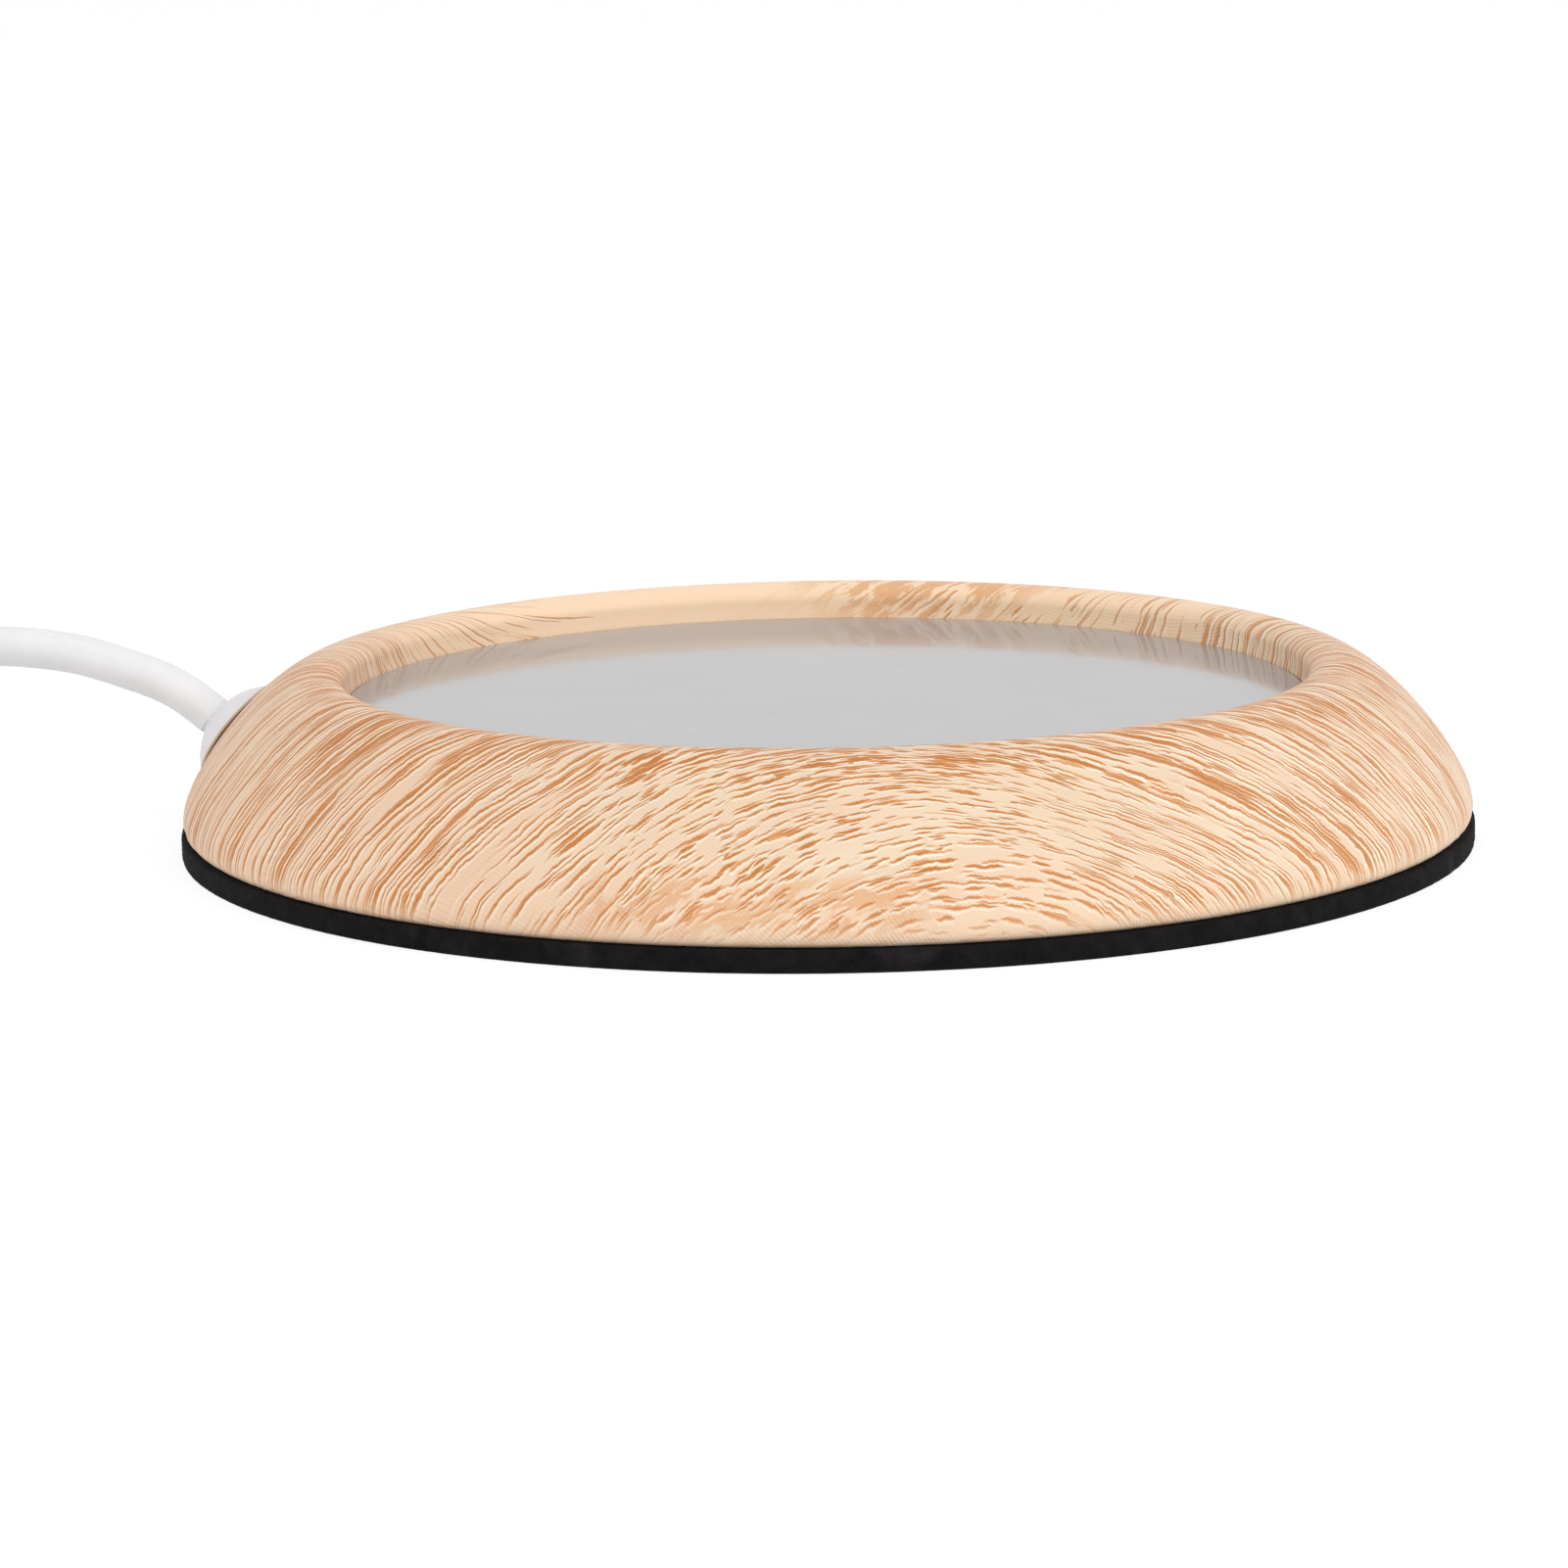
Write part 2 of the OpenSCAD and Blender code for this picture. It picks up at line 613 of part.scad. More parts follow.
module near_lead() {
    color("white") tube(near_route, lead_d, 8);
}
module far_lead() {
    color("white") tube(far_route, lead_d, 8);
}
module plug_lead() {
    color("white") tube(tail_route, lead_d, 8);
}
// The outer shape of the coil: four turns on the table and three on top of them.
module lead_coil() {
    half = lead_d / 2;
    in_r = coil_first_r - half;
    low_r = coil_first_r + (coil_turns_low - 1) * coil_pitch + half;
    high_r = coil_first_r + (coil_turns_high - 1) * coil_pitch + half;
    low_z = coil_low_z - half;
    mid_z = coil_low_z + half;
    top_z = coil_low_z + coil_pitch + half;
    color("white") translate([coil_at[0], coil_at[1], 0]) spin([
        [in_r + 1, low_z], [low_r - 1, low_z], [low_r, low_z + 1], [low_r, mid_z - 1], [low_r - 1, mid_z],
        [high_r, mid_z], [high_r, top_z - 1], [high_r - 1, top_z], [in_r + 1, top_z], [in_r, top_z - 1],
        [in_r, low_z + 1]
    ]);
}

// ---- switch on the lead --------------------------------------------------------
nose_w = 8;
sw_flat = 8;          // half of the stretch with parallel sides
sw_screw_x = 13.5;
sw_boss_d = 4.6;
sw_shelf = 1.2;        // height of the bosses and terminal seats in the lower case
sw_grip = 5.6;         // how far the lead reaches into each nose
pivot_z = sw_h - 2.4;
pin_r = 1.2;
rocker_gap = 0.3;
blade_t = 0.4;
button_x = 4.9;
// height that the blade's button comes down to, less a hair's gap
closed_z = pivot_z - (button_x + 0.9) * sin(rocker_tilt) - (3.9 + blade_t) * cos(rocker_tilt) - 0.1;

// Half width of the case at x along it: parallel over the rocker, drawn in to the noses.
function sw_half(x) = let (u = max(0, (abs(x) - sw_flat) / (sw_l / 2 - sw_flat)))
    sw_w / 2 - (sw_w - nose_w) / 2 * u * u;
sw_steps = 24;
function sw_outline(d) = let (h = sw_l / 2 - d) concat(
    [for (i = [0:sw_steps]) let (x = -h + 2 * h * i / sw_steps) [x, -sw_half(x) + d]],
    [for (i = [0:sw_steps]) let (x = h - 2 * h * i / sw_steps) [x, sw_half(x) - d]]
);
module sw_block(d, z0, z1) {
    translate([0, 0, z0]) linear_extrude(z1 - z0) polygon(sw_outline(d));
}
module at_switch() {
    translate([sw_at[0], sw_at[1], 0]) children();
}
module both_ends() {
    for (a = [0, 180]) rotate([0, 0, a]) children();
}
module lead_notches() {
    both_ends() translate([sw_l / 2 - sw_grip, 0, seam_z]) rotate([0, 90, 0]) cylinder(d = lead_d + 0.1, h = sw_grip + 1);
}
module lead_ribs(z0, z1) {
    both_ends() translate([sw_l / 2 - sw_grip + 0.8, -sw_w / 2, z0]) cube([1.2, sw_w, z1 - z0]);
}

module switch_lower_case() {
    brim = 1.2;
    color([0.93, 0.93, 0.93]) at_switch() difference() {
        hull() {
            sw_block(1, 0, 1);
            sw_block(0, brim, seam_z);
        }
        difference() {
            sw_block(sw_wall, sw_wall, seam_z + 1);
            both_ends() translate([sw_screw_x, 0, sw_wall - eps]) cylinder(d = sw_boss_d, h = sw_shelf);
            both_ends() translate([3, -3, sw_wall - eps]) cube([3.2, 6, sw_shelf]);
            lead_ribs(sw_wall - eps, seam_z + 1);
        }
        lead_notches();
        both_ends() translate([sw_screw_x, 0, -1]) cylinder(d = 2.2, h = 8);
        both_ends() translate([sw_screw_x, 0, -1]) cylinder(d = 4.2, h = 2.2);
    }
}

module switch_upper_case() {
    cheek = 1.6;
    color([0.93, 0.93, 0.93]) at_switch() difference() {
        union() {
            difference() {
                hull() {
                    sw_block(0, seam_z, sw_h - 1.6);
                    sw_block(1.4, sw_h - 1, sw_h);
                }
                difference() {
                    sw_block(sw_wall, seam_z - 1, sw_h - sw_wall);
                    for (s = [-1, 1]) translate([-rocker_l / 2, s * (rocker_w / 2 + rocker_gap + cheek / 2) - cheek / 2, seam_z])
                        cube([rocker_l, cheek, 8]);
                    lead_ribs(seam_z, sw_h);
                }
            }
            both_ends() translate([sw_screw_x, 0, sw_wall + sw_shelf + fit])
                cylinder(d = sw_boss_d, h = sw_h - 2 * sw_wall - sw_shelf);
        }
        // window for the rocker, and the sockets of its pins
        translate([-rocker_l / 2 - 0.9, -rocker_w / 2 - rocker_gap, seam_z - 1])
            cube([rocker_l + 1.8, rocker_w + 2 * rocker_gap, 12]);
        translate([0, 0, pivot_z]) rotate([90, 0, 0])
            cylinder(r = pin_r + slip, h = rocker_w + 2 * (rocker_gap + cheek) + 0.4, center = true);
        lead_notches();
        both_ends() translate([sw_screw_x, 0, 0]) cylinder(d = 1.8, h = seam_z + 3);
    }
}

// The rocker: a shallow vee on top, a rib below that carries the contact, pins at the sides.
module switch_rocker() {
    half = rocker_l / 2;
    color([0.85, 0.86, 0.88]) at_switch() translate([0, 0, pivot_z]) rotate([0, -rocker_tilt, 0]) {
        rotate([90, 0, 0]) linear_extrude(rocker_w, center = true) polygon([
            [-half, 3.3], [-half + 0.5, 3.5], [-half + 1.6, 3.4], [0, 2.5], [half - 1.6, 3.4], [half - 0.5, 3.5],
            [half, 3.3], [half - 0.6, -0.9], [2.2, -1.4], [1.2, -3.4], [-1.2, -3.4], [-2.2, -1.4], [-half + 0.6, -0.9]
        ]);
        rotate([90, 0, 0]) cylinder(r = pin_r, h = rocker_w + 2 * rocker_gap + 2.4, center = true);
    }
}

// The blade under the rocker that bridges the two terminals when the switch is on.
module rocker_blade() {
    color([0.8, 0.5, 0.3]) at_switch() translate([0, 0, pivot_z]) rotate([0, -rocker_tilt, 0]) {
        translate([-1.2, -1.6, -3.4 - blade_t]) cube([7.2, 3.2, blade_t]);
        translate([button_x, 0, -3.4 - blade_t - 0.5]) cylinder(r = 0.9, h = 0.5 + eps);
    }
}

// A strip to each lead core; one stands under the pivot, the other under the blade's button.
module switch_terminals() {
    low = sw_wall + sw_shelf;
    t = 0.5;
    color([0.8, 0.65, 0.35]) at_switch() {
        translate([-10, -1.2, low]) cube([10.8, 2.4, t]);
        translate([-0.8, -1.2, low]) cube([1.6, 2.4, pivot_z - 3.4 - blade_t - 0.35 - low]);
        translate([3.8, -1.2, low]) cube([6.2, 2.4, t]);
        translate([button_x - 0.8, -1.2, low]) cube([1.6, 2.4, closed_z - low]);
    }
}

// The jackets' ends, held in the noses, with a core running round the screw to each terminal.
sw_core_d = 1.1;
sw_core_route = [
    [17.8, 0.8, 6], [16.8, 2.2, 5.9], [15.2, 3.4, 5.6], [13.2, 3.7, 5], [11.2, 2.9, 4.2], [9.8, 1.4, 3.8],
    [9, 0.4, 3.7]
];
module switch_lead_ends() {
    color("white") at_switch() both_ends() {
        translate([sw_l / 2 - sw_grip, 0, seam_z]) rotate([0, 90, 0]) cylinder(d = lead_d, h = sw_grip);
        tube(sw_core_route, sw_core_d, 8);
    }
}

module switch_screws() {
    color("silver") at_switch() both_ends() translate([sw_screw_x, 0, 0]) {
        translate([0, 0, 0.2]) cylinder(d = 3.8, h = 1);
        translate([0, 0, 0.2]) cylinder(d = 1.8, h = seam_z + 2.6);
    }
}

// ---- plug ----------------------------------------------------------------------
plug_at = tail_route[len(tail_route) - 1];
plug_az = 225;
relief_l = 6;
shell_w = 12;
shell_h = 4.5;
shell_t = 0.3;
tongue_t = 1.9;
tongue_z = -shell_h / 2 + shell_t + tongue_t;
contact_w = 1;

module at_plug() {
    translate(plug_at) rotate([0, 0, plug_az]) children();
}
// A box with its long edges rounded, along +X.
module slab(l, w, h, r) {
    rotate([90, 0, 90]) linear_extrude(l) hull()
        for (y = [-1, 1], z = [-1, 1]) translate([y * (w / 2 - r), z * (h / 2 - r)]) circle(r = r, $fn = 24);
}
module plug_grip() {
    color([0.94, 0.94, 0.94]) at_plug() difference() {
        union() {
            rotate([0, 90, 0]) cylinder(d1 = 5, d2 = 6.6, h = relief_l + eps);
            hull() {
                translate([relief_l, 0, 0]) slab(1, grip_w - 5, grip_h - 1.6, 2.4);
                translate([relief_l + 5, 0, 0]) slab(grip_l - 6, grip_w, grip_h, 2.4);
                translate([relief_l + 5, 0, 0]) slab(grip_l - 5, grip_w - 1, grip_h - 1, 2.4);
            }
        }
        for (s = [-1, 1], i = [0:3]) translate([relief_l + 8 + 2.6 * i, s * (grip_w / 2 + 0.5), 0])
            cube([1.1, 2, grip_h - 3], center = true);
    }
}
module plug_shell() {
    x = relief_l + grip_l;
    color("silver") at_plug() difference() {
        translate([x, 0, 0]) slab(shell_l, shell_w, shell_h, 0.6);
        translate([x - 1, 0, 0]) slab(shell_l + 2, shell_w - 2 * shell_t, shell_h - 2 * shell_t, 0.4);
        for (s = [-1, 1]) translate([x + 7.4, s * 2.4, 0]) cube([2.4, 2, shell_h + 2], center = true);
    }
}
module plug_tongue() {
    tongue_w = shell_w - 2 * shell_t - 0.9;
    color([0.95, 0.95, 0.95]) at_plug()
        translate([relief_l + grip_l, -tongue_w / 2, tongue_z - tongue_t]) cube([shell_l - 0.6, tongue_w, tongue_t]);
}
module plug_contacts() {
    x = relief_l + grip_l;
    color([0.85, 0.7, 0.3]) at_plug() for (y = [-3.5, -1, 1, 3.5]) {
        long = abs(y) > 2 ? 8.6 : 7.5;
        translate([x + shell_l - 1.4 - long, y - contact_w / 2, tongue_z]) cube([long, contact_w, 0.15]);
    }
}

base_pad();
bottom_plate();
case_screws();
rim_core();
wood_grain_cover();
plate_gasket();
warming_plate();
heater_film();
heater_track();
insulation_disc();
thermostat();
retainer_plate();
retainer_screws();
cable_gland();
lead_inlet();
cord_clamp();
clamp_screws();
terminal_board();
board_parts();
wire_live();
wire_return();
heater_tails();
near_lead();
switch_lower_case();
switch_upper_case();
switch_rocker();
rocker_blade();
switch_terminals();
switch_lead_ends();
switch_screws();
far_lead();
lead_coil();
plug_lead();
plug_grip();
plug_shell();
plug_tongue();
plug_contacts();
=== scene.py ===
import json
import math

import bmesh
import bpy
import numpy as np
from bpy.props import FloatProperty, FloatVectorProperty, IntProperty, PointerProperty
from mathutils import Matrix, Vector, noise


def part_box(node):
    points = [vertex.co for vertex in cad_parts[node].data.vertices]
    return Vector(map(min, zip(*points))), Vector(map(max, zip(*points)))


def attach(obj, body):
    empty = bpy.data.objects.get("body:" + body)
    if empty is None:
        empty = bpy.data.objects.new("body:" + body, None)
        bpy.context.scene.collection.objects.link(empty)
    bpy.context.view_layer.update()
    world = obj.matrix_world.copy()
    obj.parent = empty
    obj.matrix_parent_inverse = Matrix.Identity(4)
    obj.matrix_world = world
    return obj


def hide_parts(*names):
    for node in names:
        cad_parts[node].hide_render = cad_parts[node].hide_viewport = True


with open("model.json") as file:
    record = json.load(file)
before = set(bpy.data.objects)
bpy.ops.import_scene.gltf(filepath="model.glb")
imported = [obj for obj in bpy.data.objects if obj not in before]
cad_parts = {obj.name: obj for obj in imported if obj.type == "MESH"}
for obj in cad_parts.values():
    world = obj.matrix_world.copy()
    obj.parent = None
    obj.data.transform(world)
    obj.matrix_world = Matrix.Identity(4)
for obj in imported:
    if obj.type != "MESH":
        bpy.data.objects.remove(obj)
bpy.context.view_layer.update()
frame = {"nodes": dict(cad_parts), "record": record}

bl_info = {
    "name": "Mug warmer pieces",
    "version": (1, 0, 0),
    "blender": (4, 5, 0),
    "location": "3D View > Sidebar > Mug warmer",
    "description": "Builds the pieces and finishes of a round electric mug warmer",
    "category": "Object",
}

MM = 0.001
RING_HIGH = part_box("wood_grain_cover")[1]
PAD_LOW, PAD_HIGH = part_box("base_pad")
PLATE_LOW, PLATE_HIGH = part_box("warming_plate")
EDGE_X = PAD_LOW.x
TAU = 2 * math.pi


# ---- sizes and colours -------------------------------------------------------


def length(name, default, description):
    return FloatProperty(name=name, default=default, unit="LENGTH", precision=5, description=description)


def number(name, default, low, high, description, **more):
    return FloatProperty(name=name, default=default, min=low, max=high, description=description, **more)


def angle(name, degrees, description):
    return FloatProperty(name=name, default=math.radians(degrees), subtype="ANGLE", description=description)


def colour(name, default, description):
    return FloatVectorProperty(
        name=name, default=default, subtype="COLOR", size=3, min=0, max=1, description=description,
    )


class MUGWARMER_PG_ring(bpy.types.PropertyGroup):
    radius: length("Ring radius", RING_HIGH.x, "Widest radius over the printed cover")
    crown: length("Crown height", RING_HIGH.z, "Height of the crown above the table")
    band: length("Ring width", 15.15 * MM, "From the widest place to the edge of the opening")
    lip_roll: length("Inner roll", 2.65 * MM, "How far the crown lies outside the opening")
    foot_roll: length("Foot turn", 1.2 * MM, "Radius that turns the cover under")
    cover: length("Cover thickness", 0.8 * MM, "Thickness of the printed cover")
    segments: IntProperty(
        name="Steps round", default=448, min=96, max=720, description="Faces round the ring",
    )


class MUGWARMER_PG_switch(bpy.types.PropertyGroup):
    length: length("Length", 46 * MM, "Length of the switch along the lead")
    width: length("Width", 17 * MM, "Width over the rocker")
    nose: length("Nose width", 8 * MM, "Width at each end")
    height: length("Height", 12.4 * MM, "Height of the closed cases")
    seam: length("Seam", 6 * MM, "Height of the joint between the cases")
    rocker: length("Rocker width", 8.4 * MM, "Width of the rocker")


class MUGWARMER_PG_print(bpy.types.PropertyGroup):
    pale: colour("Pale ground", (0.83, 0.657, 0.476), "Cream ground between the strokes")
    warm: colour("Warm ground", (0.85, 0.595, 0.415), "Peach ground in broad drifts")
    stroke: colour("Stroke", (0.68, 0.26, 0.045), "Orange tan of the long strokes")
    dark: colour("Dark stroke", (0.495, 0.168, 0.026), "Brown of the finest strokes")
    # painted highlight: the near-white colour laid beside each stroke stands for the lit side of the strokes'
    # relief
    light: colour("Light stroke", (0.97, 0.86, 0.71), "Near white beside the strokes")
    # partly painted light: the far side's ground is lighter and yellower, standing for light on the far inner
    # wall, and partly the paler print there
    far_ground_and_painted_light: colour("Far ground", (0.985, 0.725, 0.49), "Yellow cream of the far side")
    weave: number("Weave pitch", 0.36, 0.2, 1, "Pitch of the ribbed weave in millimetres")


class MUGWARMER_PG_finish(bpy.types.PropertyGroup):
    plate: colour("Plate", (0.362, 0.362, 0.367), "Grey of the glossy plate")
    foam: colour("Foam foot", (0.005, 0.0045, 0.0045), "Black of the foam foot")
    gland: colour("Gland", (0.81, 0.78, 0.805), "White of the gland")
    lead: colour("Lead", (0.83, 0.835, 0.85), "White of the lead")
    case: colour("Switch and plug", (0.78, 0.78, 0.79), "White of the switch and the plug")


class MUGWARMER_PG_stage(bpy.types.PropertyGroup):
    distance: length("Camera distance", 544.848 * MM, "From the camera to what it looks at")
    elevation: angle("Elevation", 11.151, "Camera above the horizon")
    roll: angle("Roll", -0.842, "Camera roll")
    aim_x: length("Aim across", -4.025 * MM, "What the camera looks at, across")
    aim_z: length("Aim up", 4.897 * MM, "What the camera looks at, up")
    lens: number("Lens", 133.79, 10, 300, "Focal length in millimetres on a 36 mm sensor")
    fill: number("Fill light", 0.70, 0, 2, "Light that comes from all round")
    key: number("Key light", 3.17, 0, 50, "Soft lamp at the front, to the right", unit="POWER")


class MUGWARMER_PG_all(bpy.types.PropertyGroup):
    ring: PointerProperty(type=MUGWARMER_PG_ring)
    switch: PointerProperty(type=MUGWARMER_PG_switch)
    print: PointerProperty(type=MUGWARMER_PG_print)
    finish: PointerProperty(type=MUGWARMER_PG_finish)
    stage: PointerProperty(type=MUGWARMER_PG_stage)


def settings():
    return bpy.context.scene.mug_warmer


# ---- meshes --------------------------------------------------------------------

SHARP_EDGE = math.radians(38)


def polar(radius, turn):
    return radius * math.cos(turn), radius * math.sin(turn)


def in_mm(points):
    """Points given in millimetres, as lengths."""
    return [tuple(v * MM for v in p) for p in points]


def put(name, data):
    """A new object in the scene."""
    obj = bpy.data.objects.new(name, data)
    bpy.context.scene.collection.objects.link(obj)
    return obj


def smoothed(mesh):
    """The mesh, smooth but for its sharp edges."""
    mesh.shade_smooth()
    mesh.set_sharp_from_angle(angle=SHARP_EDGE)
    return mesh


def changed(mesh, change):
    """The mesh after change(bm), with bm its bmesh."""
    bm = bmesh.new()
    bm.from_mesh(mesh)
    change(bm)
    bm.to_mesh(mesh)
    bm.free()
    return mesh


def mesh_of(verts, faces):
    """A closed mesh with its normals outwards."""
    mesh = bpy.data.meshes.new("piece")
    mesh.from_pydata([tuple(v) for v in verts], [], faces)
    return smoothed(changed(mesh, lambda bm: bmesh.ops.recalc_face_normals(bm, faces=bm.faces)))


def cad_copy(node):
    """The solid's mesh with its split corners welded, so that it can be carved."""
    mesh = frame["nodes"][node].data.copy()
    return changed(mesh, lambda bm: bmesh.ops.remove_doubles(bm, verts=bm.verts, dist=1e-6))


def carve(mesh, tool, operation="DIFFERENCE"):
    """The mesh with another one taken from it, or kept only inside it."""
    whole, other = put("carve", mesh), put("carve", tool)
    step = whole.modifiers.new("carve", "BOOLEAN")
    step.object, step.operation, step.solver = other, operation, "EXACT"
    made = bpy.data.meshes.new_from_object(whole.evaluated_get(bpy.context.evaluated_depsgraph_get()))
    bpy.data.objects.remove(whole)
    bpy.data.objects.remove(other)
    if len(made.polygons) < 8:
        raise RuntimeError("a carved piece came out empty")
    return made


def lathe(profile, segments, closed=False):
    """Vertices and faces of a profile of (radius, height) turned about Z. A radius of 0 makes a pole."""
    verts, faces, rings = [], [], []
    for r, z in profile:
        if r < 1e-7:
            rings.append([len(verts)] * segments)
            verts.append((0, 0, z))
        else:
            rings.append(range(len(verts), len(verts) + segments))
            verts += [(*polar(r, TAU * k / segments), z) for k in range(segments)]
    for a, b in zip(rings, rings[1:] + (rings[:1] if closed else [])):
        for k in range(segments):
            n = (k + 1) % segments
            face = list(dict.fromkeys((a[k], a[n], b[n], b[k])))
            if len(face) > 2:
                faces.append(face)
    return verts, faces


def loft(sections):
    """Vertices and faces over closed sections with the same number of points, with both ends closed."""
    n = len(sections[0])
    verts = [p for s in sections for p in s]
    faces = [list(range(n)), list(range(len(verts) - n, len(verts)))]
    for a in range(0, len(verts) - n, n):
        faces += [[a + k, a + (k + 1) % n, a + n + (k + 1) % n, a + n + k] for k in range(n)]
    return verts, faces


def tube(points, radius, sides):
    """A round bar along points, with its frame carried from one to the next."""
    turn = [TAU * k / sides for k in range(sides)]
    sections, across = [], None
    for i, p in enumerate(points):
        ahead = (points[min(i + 1, len(points) - 1)] - points[max(i - 1, 0)]).normalized()
        if across is None:
            across = ahead.orthogonal().normalized()
        across = (across - ahead * across.dot(ahead)).normalized()
        up = ahead.cross(across)
        sections.append([p + radius * (math.cos(a) * across + math.sin(a) * up) for a in turn])
    return loft(sections)


def joined(*parts):
    verts, faces = [], []
    for v, f in parts:
        start = len(verts)
        verts += list(v)
        faces += [[start + i for i in face] for face in f]
    return verts, faces


def moved(part, matrix):
    return [matrix @ Vector(v) for v in part[0]], part[1]


def curved(points, steps):
    """The points with a smooth curve put between them."""
    out = []
    for i in range(len(points) - 1):
        a, b, c, d = (points[min(max(k, 0), len(points) - 1)] for k in range(i - 1, i + 3))
        for s in range(steps):
            t = s / steps
            out.append(0.5 * (
                2 * b + (c - a) * t + (2 * a - 5 * b + 4 * c - d) * t**2 + (3 * b - a - 3 * c + d) * t**3
            ))
    return out + [points[-1]]


def rectangle(width, height, corner, steps=9):
    """A rectangle with round corners as (across, up) points, the same number whatever its size."""
    corner = min(corner, width / 2 - 1e-6, height / 2 - 1e-6)
    out = []
    for right, up, start in ((1, 1, 0), (-1, 1, 90), (-1, -1, 180), (1, -1, 270)):
        for k in range(steps + 1):
            x, y = polar(corner, math.radians(start + 90 * k / steps))
            out.append((right * (width / 2 - corner) + x, up * (height / 2 - corner) + y))
    return out


def piece(name, part, slot, replaces=(), body="root", finishes=None):
    """Puts a finished piece in the scene under its body, with the finish of its slot unless finishes are
    given, and hides the solids that it stands for.
    """
    mesh = part if isinstance(part, bpy.types.Mesh) else mesh_of(*part)
    mesh.name = name
    obj = put(name, mesh)
    mesh.materials.clear()
    for m in finishes or [all_finishes()[slot]]:
        mesh.materials.append(m)
    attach(obj, body)
    if replaces:
        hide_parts(*replaces)
    return obj


# ---- shader helpers --------------------------------------------------------------


class Value:
    """A shader value. Plain arithmetic on values puts the maths nodes in their tree."""

    def __init__(self, nodes, socket):
        self.nodes, self.socket = nodes, socket

    def __add__(self, other):
        return self.nodes.math("ADD", self, other)

    def __sub__(self, other):
        return self.nodes.math("SUBTRACT", self, other)

    def __rsub__(self, other):
        return self.nodes.math("SUBTRACT", other, self)

    def __mul__(self, other):
        return self.nodes.math("MULTIPLY", self, other)

    def __truediv__(self, other):
        return self.nodes.math("DIVIDE", self, other)

    def __rtruediv__(self, other):
        return self.nodes.math("DIVIDE", other, self)

    def __abs__(self):
        return self.nodes.math("ABSOLUTE", self)


class Nodes:
    """Puts shader nodes in a tree and links them."""

    def __init__(self, tree):
        self.tree = tree

    def add(self, kind, inputs=None, **props):
        node = self.tree.nodes.new("ShaderNode" + kind)
        for key, value in props.items():
            setattr(node, key, value)
        for key, value in (inputs or {}).items():
            self.give(node.inputs[key], value)
        return node

    def give(self, socket, value):
        if isinstance(value, Value):
            value = value.socket
        if isinstance(value, bpy.types.NodeSocket):
            self.tree.links.new(value, socket)
        elif socket.type == "RGBA" and len(value) == 3:
            socket.default_value = (*value, 1)
        else:
            socket.default_value = value

    def values(self, sockets):
        return {s.name: Value(self, s) for s in sockets}

    def value(self, kind, inputs=None, output=0, **props):
        """One output of a new node, as a value."""
        return Value(self, self.add(kind, inputs, **props).outputs[output])

    def math(self, operation, *given, clamp=False):
        return self.value("Math", dict(enumerate(given)), operation=operation, use_clamp=clamp)

    def most(self, a, b):
        return self.math("MAXIMUM", a, b)

    def mapped(self, value, a, b, c=0.0, d=1.0, kind="LINEAR"):
        """c where the value is a, d where it is b, and even between them."""
        return self.value("MapRange", dict(enumerate((value, a, b, c, d))), interpolation_type=kind)

    def eased(self, value, a, b, c=0.0, d=1.0):
        """As mapped, with soft ends."""
        return self.mapped(value, a, b, c, d, "SMOOTHSTEP")

    def between(self, mask, a, b):
        """a where the mask is 0, b where it is 1."""
        return self.mapped(mask, 0, 1, a, b)

    def spread(self, level, a=0.0, b=1.0):
        """a to b over the range that a noise mostly keeps to."""
        return self.mapped(level, 0.3, 0.7, a, b)

    def mix(self, share, a, b):
        return self.value("Mix", {0: share, 6: a, 7: b}, 2, data_type="RGBA")

    def split(self, vector):
        return list(self.values(self.add("SeparateXYZ", {0: vector}).outputs).values())

    def picks(self, colour):
        return list(self.values(self.add("SeparateColor", {0: colour}).outputs).values())

    def vector(self, x=0.0, y=0.0, z=0.0):
        return self.value("CombineXYZ", {0: x, 1: y, 2: z})

    def place(self):
        """Where a point lies on the object."""
        return self.value("TexCoord", output="Object")

    def scaled(self, vector, by):
        return self.value("VectorMath", {0: vector, 1: by}, operation="MULTIPLY")

    def noise(self, vector, scale, detail=2.0, rough=0.5, bend=0.0):
        inputs = {"Vector": vector, "Scale": scale, "Detail": detail, "Roughness": rough, "Distortion": bend}
        return self.value("TexNoise", inputs, "Fac")

    def bump(self, height, distance, strength=1.0):
        return self.value("Bump", {"Height": height, "Distance": distance, "Strength": strength})

    def own(self, name, inputs=None):
        """An effect from its group, with this material's values."""
        return self.values(self.add("Group", inputs, node_tree=effect(name)).outputs)


def effect(name):
    """The group of that name, built once."""
    if name not in bpy.data.node_groups:
        build, inputs, outputs = EFFECTS[name]
        group = bpy.data.node_groups.new(name, "ShaderNodeTree")
        for key, value in inputs.items():
            kind = "NodeSocketVector" if isinstance(value, tuple) else "NodeSocketFloat"
            group.interface.new_socket(key, in_out="INPUT", socket_type=kind).default_value = value
        for key in outputs:
            group.interface.new_socket(key, in_out="OUTPUT", socket_type="NodeSocketFloat")
        n = Nodes(group)
        given = n.values(group.nodes.new("NodeGroupInput").outputs)
        taken = group.nodes.new("NodeGroupOutput").inputs
        for key, value in build(n, given).items():
            n.give(taken[key], value)
    return bpy.data.node_groups[name]


def flecks(n, i):
    """Short strokes with drawn-out ends, thick in some places and few in others."""
    at = n.vector(i["Along"] / i["Length"], i["Across"] / i["Spacing"])
    level = n.noise(at, 1.0, 1.5, 0.45)
    crowd = n.mapped(n.noise(n.scaled(at, (0.16, 0.11, 1)), 1.0, 1.0), 0.35, 0.65, 0.075, -0.03)
    edge = 1 - i["Amount"] + crowd
    return {"Mask": n.eased(level, edge, edge + 0.035)}


